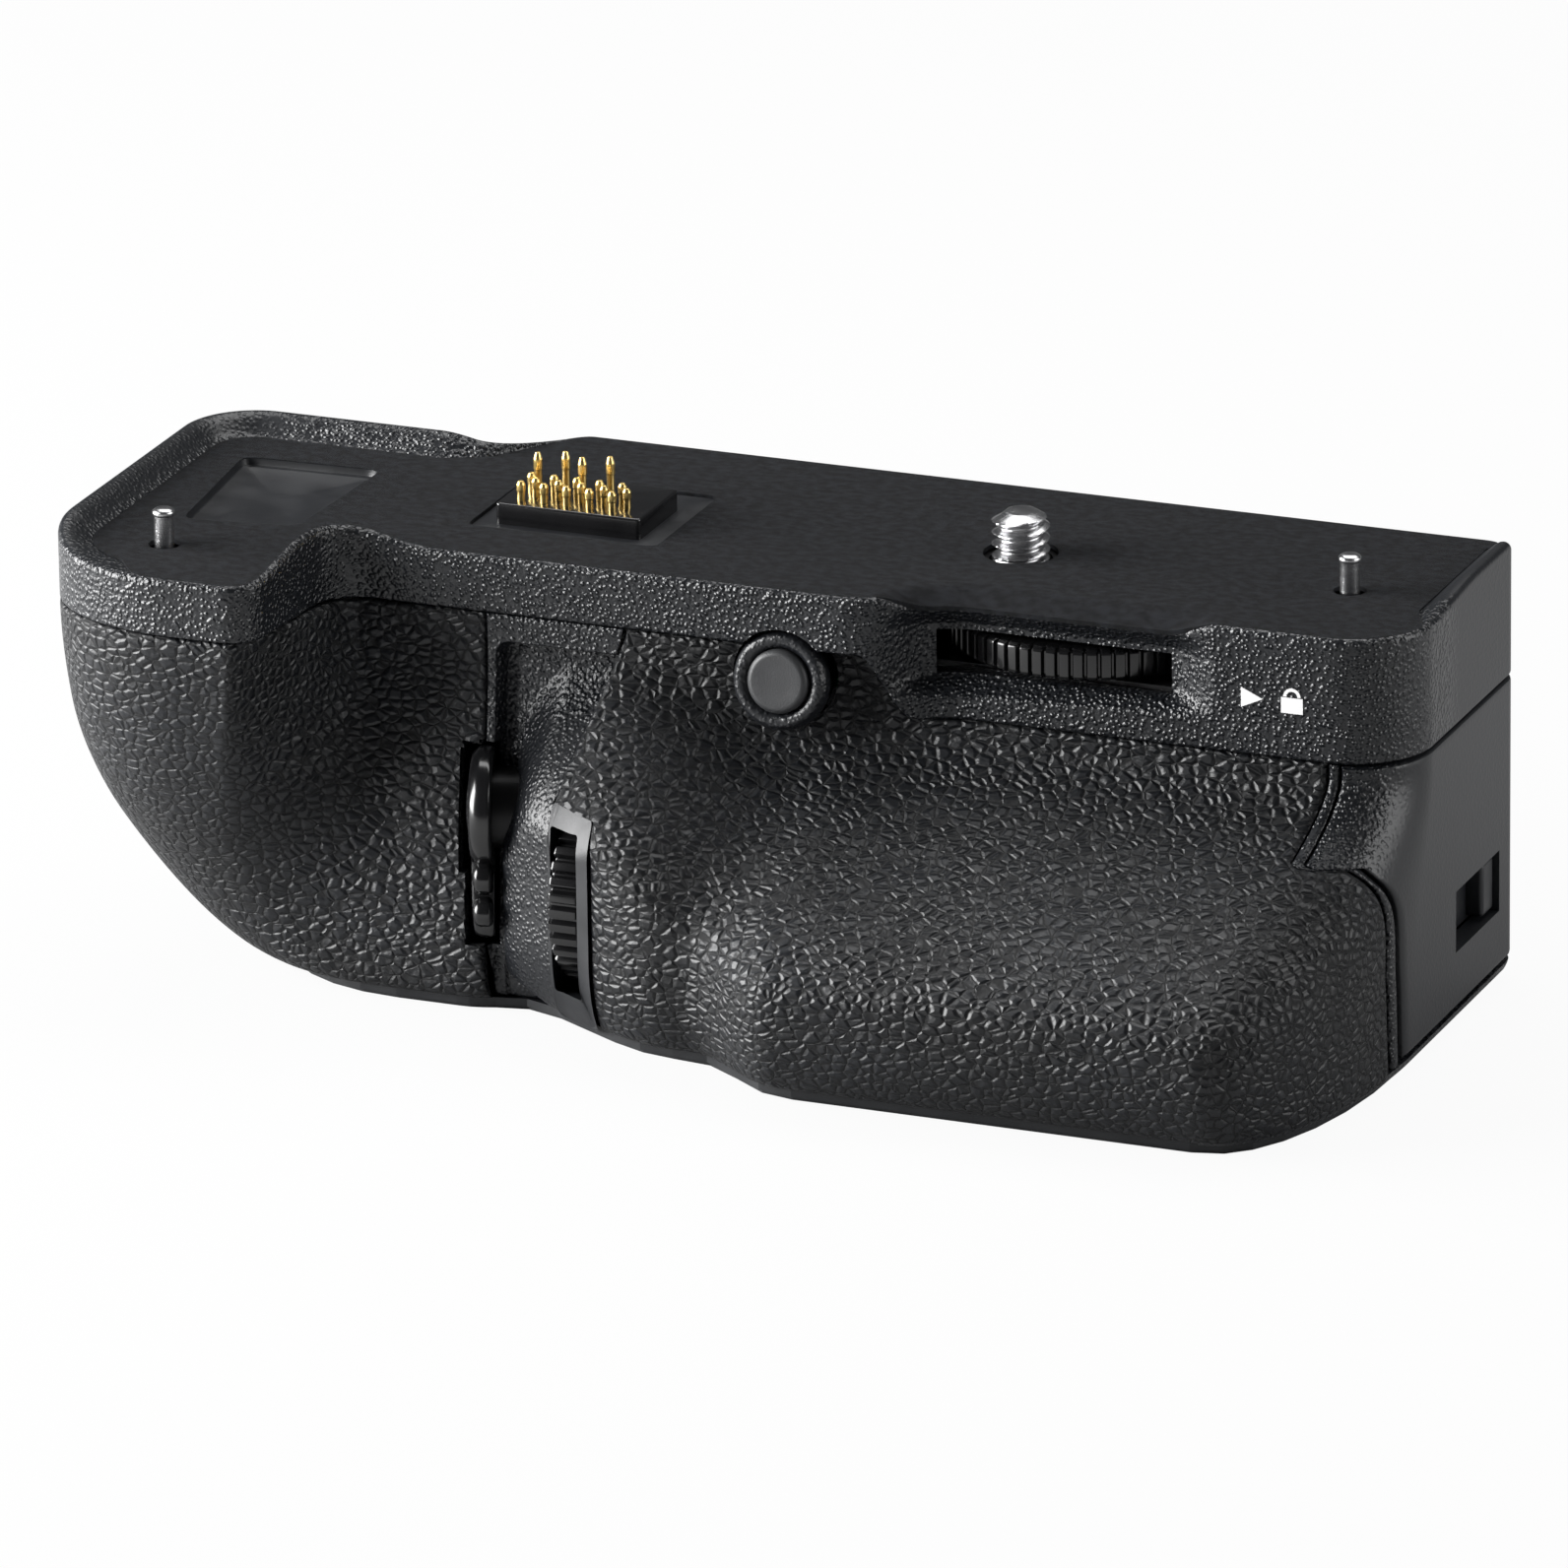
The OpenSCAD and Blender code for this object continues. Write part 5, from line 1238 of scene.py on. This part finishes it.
def dial_frame():
    """Rounded frame of the front dial, lying on the hand grip's crest."""
    outer = resample(box_outline((-40.9, CASE_FOOT + 0.1), (-35.25, -22.55), 1.3, 12), 240)
    inner = resample(box_outline((-40.6, -43.6), (-36.4, -24.4), 0.4, 12), 240)
    grid = frame_ring(outer, inner, (1.8, -0.45), -0.35)
    x, z, lift = grid.transpose(2, 0, 1)
    face = crest(x) + hump_roll(z) + 3.4 * (1 - ease((-19 - z) / 8))
    return tube(np.stack([x, face + lift, z], -1))


class GRIP_OT_release(bpy.types.Operator):
    """Builds the release button and the lever round it."""
    bl_idname = "grip.release"
    bl_label = "Release button and lever"

    def execute(self, context):
        size, tip = 4.0, LEVER_HALF + 0.6
        arch = np.linspace(0, np.pi / 2, 12)[1:-1]
        under, neck = -1.0, 2.0
        cap = [(0, under - 0.6), (neck, under - 0.6), (neck, under), (size, under), (size, tip - 0.8)]
        cap += [(size * np.cos(t), tip - 0.8 + 0.8 * np.sin(t)) for t in arch] + [(0, tip)]
        add_piece("release_cap", *turned(cap, RELEASE, RELEASE_AXIS, 72), FINISHES["gloss"],
                  "release_button", "gloss_black",
                  ("release_button",))
        add_piece("lever", *lever(), FINISHES["gloss"], "power_lever", "gloss_black", ("power_lever",), 50)
        return {"FINISHED"}


def lever():
    """Lever ring: turned profile with rounded edges whose rim swells into a tab, and two finger
    ridges on the tab's front edge."""
    half, bore = LEVER_HALF, 4.42
    profile = rounded_profile([(bore, -half), (LEVER, -half), (LEVER, half - 0.9), (LEVER - 0.7, half),
                               (bore + 0.2, half),
                               (bore, half - 0.2), (bore, -half)], 0.6, 7)

    def radius(r, h, angle):
        off = np.angle(np.exp(1j * (angle - TAB)))
        return r + (LEVER_REACH - LEVER) * np.exp(-(off / 0.24) ** 4) * ease((r - LEVER + 1.6) / 1.2)
    parts = [turned(profile, RELEASE, RELEASE_AXIS, 360, radius)]
    ahead = np.array([-RELEASE_AXIS[1], RELEASE_AXIS[0], 0])
    for forward, fall, size in ((3.6, 6.6, 1.9), (4.1, 10.3, 1.6)):
        bead = rounded_profile([(0, -half + 0.1), (size, -half + 0.1), (size, half - 0.5), (0, half - 0.1)],
                               0.7, 6)
        parts.append(turned(bead, RELEASE + forward * ahead - [0, 0, fall], RELEASE_AXIS, 48))
    return joined(*parts)


class GRIP_OT_command_dials(bpy.types.Operator):
    """Builds the front and rear command dials and the rear dial's frame."""
    bl_idname = "grip.command_dials"
    bl_label = "Command dials"

    def execute(self, context):
        count = context.scene.grip_sizes.dial_ribs
        for name, node, deep in (("front_wheel", "front_dial", 0.7), ("rear_wheel", "rear_dial", 0.6)):
            low, high = node_box(node)
            size = (high[2] - low[2]) / 2
            number = int(count * size / 10.5)
            add_piece(name, *wheel(size, high[0] - low[0], 1.56, 0.3, ribs(number, deep, 0.45),
                                   (low + high) / 2, (1, 0, 0), number * 16),
                      FINISHES["gloss"], node, "gloss_black", (node,))
        low, high = node_box("rear_bezel")
        outer = resample(box_outline(low[[0, 2]], high[[0, 2]], 2.0, 12), 200)
        inner = resample(box_outline((-46.9, -23), (-41.1, -11), 0.6, 12), 200)
        grid = frame_ring(outer, inner, (REAR - 0.4, high[1]), 0.3)
        points, faces = tube(grid)
        add_piece("rear_frame", standing(points), faces, FINISHES["gloss"], "grip", "gloss_black",
                  ("rear_bezel",))
        return {"FINISHED"}


class GRIP_OT_buttons(bpy.types.Operator):
    """Builds the function button with its ring and the two rear buttons."""
    bl_idname = "grip.buttons"
    bl_label = "Buttons"

    def execute(self, context):
        tilt = math.radians(10)
        at, axis = FN, (0, -math.cos(tilt), math.sin(tilt))
        ring = rounded_profile([(3.46, -6), (4.2, -6), (4.2, -2), (5.3, -2), (5.3, -0.75), (4.75, 0.0),
                                (4.0, 0.0), (3.46, -0.5), (3.46, -6)], 0.45, 6)
        piece = add_piece("fn_surround", *turned(ring, at, axis, 96), FINISHES["plastic"], "grip",
                          "gloss_black", ("fn_ring",))
        mark_grain(piece, lambda x, y, z: 0.35 + 0 * x)
        cap = rounded_profile([(0, -6.4), (3.4, -6.4), (3.4, 0.1), (2.95, 0.5), (1.5, 0.42), (0, 0.4)],
                              0.35, 6)
        add_piece("fn_cap", *turned(cap, at, axis, 72), FINISHES["button"], "fn_button", "button_grey",
                  ("fn_button",))
        for node, x, z in (("rear_button_a", -28, -15), ("rear_button_b", -24.5, -27)):
            low, high = node_box(node)
            cap = rounded_profile([(0, low[1]), (3.2, low[1]), (3.2, high[1] - 0.3), (2.7, high[1]),
                                   (1.2, high[1] - 0.1), (0, high[1] - 0.12)], 0.35, 6)
            add_piece(node + "_cap", *turned(cap, (x, 0, z), (0, 1, 0), 64), FINISHES["button"], node,
                      "button_grey", (node,))
        return {"FINISHED"}


class GRIP_OT_stick(bpy.types.Operator):
    """Builds the focus stick's ring and dished cap."""
    bl_idname = "grip.stick"
    bl_label = "Focus stick"

    def execute(self, context):
        x, y, z = -35, 15, -30
        ring = rounded_profile([(4.3, REAR - 1.8), (5.0, REAR - 1.8), (5.0, REAR), (5.8, REAR),
                                (5.8, REAR + 0.5), (5.3, REAR + 0.8), (4.6, REAR + 0.8),
                                (4.3, REAR + 0.4), (4.3, REAR - 1.8)], 0.3, 5)
        add_piece("stick_surround", *turned(ring, (x, 0, z), (0, 1, 0), 72), FINISHES["gloss"], "grip",
                  "gloss_black", ("stick_ring",))
        top = node_box("stick_cap")[1][1]
        cap = rounded_profile([(0, y - 2), (1.1, y - 2), (1.1, top - 1.8), (2.55, top - 1.8),
                               (2.55, top - 0.5), (2.05, top), (1.3, top - 0.1), (0, top - 0.45)], 0.3, 5)

        def radius(r, h, angle):
            """Fine radial flutes round the cap's rim."""
            return r - 0.1 * (0.5 + 0.5 * np.cos(angle * 24)) * ease((r - 2.1) / 0.4)
        add_piece("stick_top", *turned(cap, (x, 0, z), (0, 1, 0), 192, radius), FINISHES["button"], "stick",
                  "button_grey", ("stick_cap",))
        return {"FINISHED"}


class GRIP_OT_door(bpy.types.Operator):
    """Builds the battery door with its hinge barrel and latch."""
    bl_idname = "grip.door"
    bl_label = "Battery door"

    def execute(self, context):
        piece = add_piece("door", *door_surface(), FINISHES["plastic"], "door", "smooth_plastic",
                          ("battery_door",))
        mark_grain(piece, lambda x, y, z: 0.06 + 0.94 * ease((47.6 - x) / 4) * ease((-4 - y) / 6))
        low, high = node_box("door_latch")
        plate = slab(box_outline(low[:2], [RIGHT - DOOR - 0.2, high[1]], 0.3), low[2], high[2], 0.2)
        knob = slab(box_outline([RIGHT - 2.8, 10.4], [RIGHT - 0.5, 13.8], 0.5), low[2] + 0.4, high[2] - 0.4,
                    0.5)
        add_piece("latch_slider", *joined(plate, knob), FINISHES["satin"], "latch", "gloss_black",
                  ("door_latch",))
        return {"FINISHED"}


def door_surface():
    """Door plate round the right corner, along the end and over the hinge barrel, with the latch's
    slot left open, and the barrel behind it."""
    z = np.concatenate([np.linspace(SKIRT_Z - 0.3, -32.1, 76), np.linspace(-32.1, -38.9, 26)[1:],
                        np.linspace(-38.9, -45.1, 26)[1:]])[:, None]
    height = np.minimum(z[0] - z, z - z[-1])

    def layer(depth):
        start = 90 - door_reach(z)
        turn = np.linspace(0, 1, 60)[None]
        rim = np.minimum(np.radians(start * turn) * 11, height)
        first = corner_point(start * (1 - turn), z, depth if depth else edge_drop(rim, 0.5))
        y = np.concatenate([blend(corner_centre(z)[1] + 0.1, 0.6, np.linspace(0, 1, 20)[None]),
                            0 * z + np.linspace(0.6, 14.2, 30)[None],
                            0 * z + np.linspace(14.2, HINGE[1], 8)[None, 1:]], 1)
        face = RIGHT - foot_roll(z) - (depth if depth else edge_drop(height, 0.5))
        second = np.stack(np.broadcast_arrays(face, y, z), -1)
        a = np.radians(np.linspace(4, 90, 20))[None]
        size = REAR_CORNER - (depth if depth else edge_drop(height, 0.5))
        third = np.stack(np.broadcast_arrays(HINGE[0] + size * np.cos(a), HINGE[1] + size * np.sin(a), z), -1)
        return np.concatenate([first, second, third], 1)
    outer, inner = layer(0), layer(DOOR)
    x, y, zz = ((outer[:-1, :-1] + outer[1:, 1:]) / 2).transpose(2, 0, 1)
    slot = (x > 44) & (y > 0.6) & (y < 14.2) & (zz > -38.9) & (zz < -32.1)
    barrel = rounded_profile([(1.06, -45.0), (3.5, -45.0), (3.5, SKIRT_Z - 0.5), (1.06, SKIRT_Z - 0.5),
                              (1.06, -45.0)], 0.2, 3)
    return joined(shell(outer, inner, ~slot), turned(barrel, (*HINGE, 0), (0, 0, 1), 48))


class GRIP_OT_base(bpy.types.Operator):
    """Builds the threaded tripod socket."""
    bl_idname = "grip.base"
    bl_label = "Base"

    def execute(self, context):
        pitch = context.scene.grip_sizes.thread_pitch / MM
        low, high = node_box("tripod_socket")

        def radius(r, h, angle):
            """Thread in the bore: a triangle wave that climbs one pitch per turn."""
            phase = (h / pitch - angle / (2 * np.pi)) % 1
            return np.where(r < 3.3, r - 0.55 * np.clip(1.2 - 2.4 * np.abs(phase - 0.5), 0,
                                                        1) * ease((h - low[2] - 0.3) / 0.4), r)
        bore = [(3.175, h) for h in np.linspace(-42.9, low[2] + 0.3, 60)]
        profile = [(0, high[2]), (6, high[2]), (6, CASE_FOOT), (7, CASE_FOOT), (7, low[2] + 0.2),
                   (6.8, low[2]), (3.6, low[2]), *bore[::-1], (0, -42.9)]
        add_piece("socket", *turned(profile, (0, 0, 0), (0, 0, 1), 72, radius), FINISHES["steel"], "grip",
                  "steel", ("tripod_socket",))
        return {"FINISHED"}


class GRIP_OT_solids(bpy.types.Operator):
    """Gives the solids that stay in view their finishes."""
    bl_idname = "grip.solids"
    bl_label = "Finishes of the solids"

    def execute(self, context):
        finish = {"stippled": "satin", "grained_rubber": "rubber", "flock": "flock",
                  "smooth_plastic": "satin", "gloss_black": "gloss", "button_grey": "button",
                  "steel": "steel", "gold": "gold", "brass": "brass", "white_ink": "ink",
                  "board_green": "board"}
        own = {"screw_bush": "black_steel", "battery_pack": "battery", "base_screws": "black_steel",
               "release_bush": "black_steel"}
        for part in frame["record"]["subparts"]:
            node = frame["nodes"][part["node"]]
            node.data.materials.clear()
            node.data.materials.append(FINISHES[own.get(part["node"], finish[part["material_slot"]])])
        return {"FINISHED"}


class GRIP_OT_stage(bpy.types.Operator):
    """Sets up the pale floor, the soft studio light and the camera."""
    bl_idname = "grip.stage"
    bl_label = "Stage"

    def execute(self, context):
        scene = context.scene
        scene.view_settings.view_transform = "Standard"
        pale_world(scene)
        floor = pale_floor(scene)
        lamps = (("left_softbox", (-0.55, -0.2, 0.14), (0.5, 0.4), 12.5),
                 ("right_softbox", (0.6, 0.05, 0.18), (0.45, 0.4), 2.4),
                 ("top_softbox", (-0.05, 0.35, 0.8), (0.9, 0.5), 6.5))
        for name, place, size, power in lamps:
            soft_lamp(scene, name, Vector(place), size, power)
        photo_camera(scene)
        return {"FINISHED"}


def pale_world(scene):
    """World that lights softly and shows white to the camera alone."""
    world = bpy.data.worlds.new("Studio")
    scene.world = world
    world.use_nodes = True
    tree = world.node_tree
    tree.nodes["Background"].inputs["Color"].default_value = (0.85, 0.87, 0.9, 1)
    tree.nodes["Background"].inputs["Strength"].default_value = 0.08
    white = add_node(tree, "ShaderNodeBackground", {"Color": (1, 1, 1, 1), "Strength": 1.0})
    path = add_node(tree, "ShaderNodeLightPath").outputs
    mix = add_node(tree, "ShaderNodeMixShader", {
        0: path["Is Camera Ray"], 1: tree.nodes["Background"].outputs[0], 2: white.outputs[0]})
    tree.links.new(mix.outputs[0], tree.nodes["World Output"].inputs["Surface"])


def pale_floor(scene):
    """Wide grey floor under the base, nearly white to the camera, that keeps a light shadow."""
    half, z = 6.0, CAD_BOX[0][2]
    mesh = bpy.data.meshes.new("floor")
    mesh.from_pydata([(-half, -half, z), (half, -half, z), (half, half, z), (-half, half, z)], [],
                     [(0, 1, 2, 3)])
    floor = bpy.data.objects.new("floor", mesh)
    scene.collection.objects.link(floor)
    material = bpy.data.materials.new("Pale floor")
    material.use_nodes = True
    tree = material.node_tree
    shader = tree.nodes["Principled BSDF"]
    shader.inputs["Base Color"].default_value = (0.45, 0.45, 0.45, 1)
    shader.inputs["Roughness"].default_value = 0.9
    white = add_node(tree, "ShaderNodeEmission", {"Color": (1, 1, 1, 1), "Strength": 1.0})
    path = add_node(tree, "ShaderNodeLightPath").outputs
    share = maths(tree, "MULTIPLY", path["Is Camera Ray"], 0.94)
    mix = add_node(tree, "ShaderNodeMixShader", {0: share, 1: shader.outputs[0], 2: white.outputs[0]})
    tree.links.new(mix.outputs[0], tree.nodes["Material Output"].inputs["Surface"])
    mesh.materials.append(material)
    return floor


def soft_lamp(scene, name, place, size, power):
    """Rectangular soft lamp that faces the object."""
    lamp = bpy.data.lights.new(name, "AREA")
    lamp.shape = "RECTANGLE"
    lamp.size, lamp.size_y = size
    lamp.energy = power
    holder = bpy.data.objects.new(name, lamp)
    aim = Vector((-0.025, -0.01, -0.02))
    holder.location = place
    holder.rotation_euler = (place - aim).to_track_quat("Z", "Y").to_euler()
    scene.collection.objects.link(holder)


def photo_camera(scene):
    """Camera at the photograph's angle: azimuth, elevation and roll about the point it looks at."""
    azimuth, elevation, tilt = (math.radians(v) for v in (22.27, 19.72, -0.78))
    target, distance = Vector((-36.45, 22.64, -37.92)) * MM, 1.5933
    back = Vector((math.sin(azimuth) * math.cos(elevation), -math.cos(azimuth) * math.cos(elevation),
                   math.sin(elevation)))
    right = Vector((math.cos(azimuth), math.sin(azimuth), 0))
    up = back.cross(right)
    across = math.cos(tilt) * right + math.sin(tilt) * up
    upward = math.cos(tilt) * up - math.sin(tilt) * right
    data = bpy.data.cameras.new("photo_camera")
    data.sensor_width, data.lens = 36, 36 * 15000 / 1592
    camera = bpy.data.objects.new("photo_camera", data)
    turn = Matrix((across, upward, back)).transposed().to_4x4()
    camera.matrix_world = Matrix.Translation(target + back * distance) @ turn
    data.clip_start, data.clip_end = 0.01, 50
    scene.collection.objects.link(camera)
    scene.camera = camera


STEPS = (GRIP_OT_finishes, GRIP_OT_solids, GRIP_OT_band, GRIP_OT_deck, GRIP_OT_contacts, GRIP_OT_pins,
         GRIP_OT_camera_screw, GRIP_OT_lock_dial, GRIP_OT_lower_case, GRIP_OT_covers,
         GRIP_OT_release_panel, GRIP_OT_release, GRIP_OT_command_dials, GRIP_OT_buttons, GRIP_OT_stick,
         GRIP_OT_door, GRIP_OT_base, GRIP_OT_stage)


class GRIP_PT_panel(bpy.types.Panel):
    """Lists the sizes, the colours and the building steps."""
    bl_label = "Battery grip"
    bl_idname = "GRIP_PT_panel"
    bl_space_type = "VIEW_3D"
    bl_region_type = "UI"
    bl_category = "Grip"

    def draw(self, context):
        for group in (context.scene.grip_sizes, context.scene.grip_colours):
            for key in group.__annotations__:
                self.layout.prop(group, key)
        for step in STEPS:
            self.layout.operator(step.bl_idname)


CLASSES = (GripSizes, GripColours, *STEPS, GRIP_PT_panel)


def register():
    """Registers the classes and their settings on the scene."""
    for cls in CLASSES:
        bpy.utils.register_class(cls)
    bpy.types.Scene.grip_sizes = PointerProperty(type=GripSizes)
    bpy.types.Scene.grip_colours = PointerProperty(type=GripColours)


def unregister():
    """Takes the settings and the classes away again."""
    del bpy.types.Scene.grip_colours
    del bpy.types.Scene.grip_sizes
    for cls in reversed(CLASSES):
        bpy.utils.unregister_class(cls)


def main():
    """Builds the pieces in order."""
    register()
    for step in STEPS:
        group, name = step.bl_idname.split(".")
        getattr(getattr(bpy.ops, group), name)()


if __name__ == "__main__":
    main()
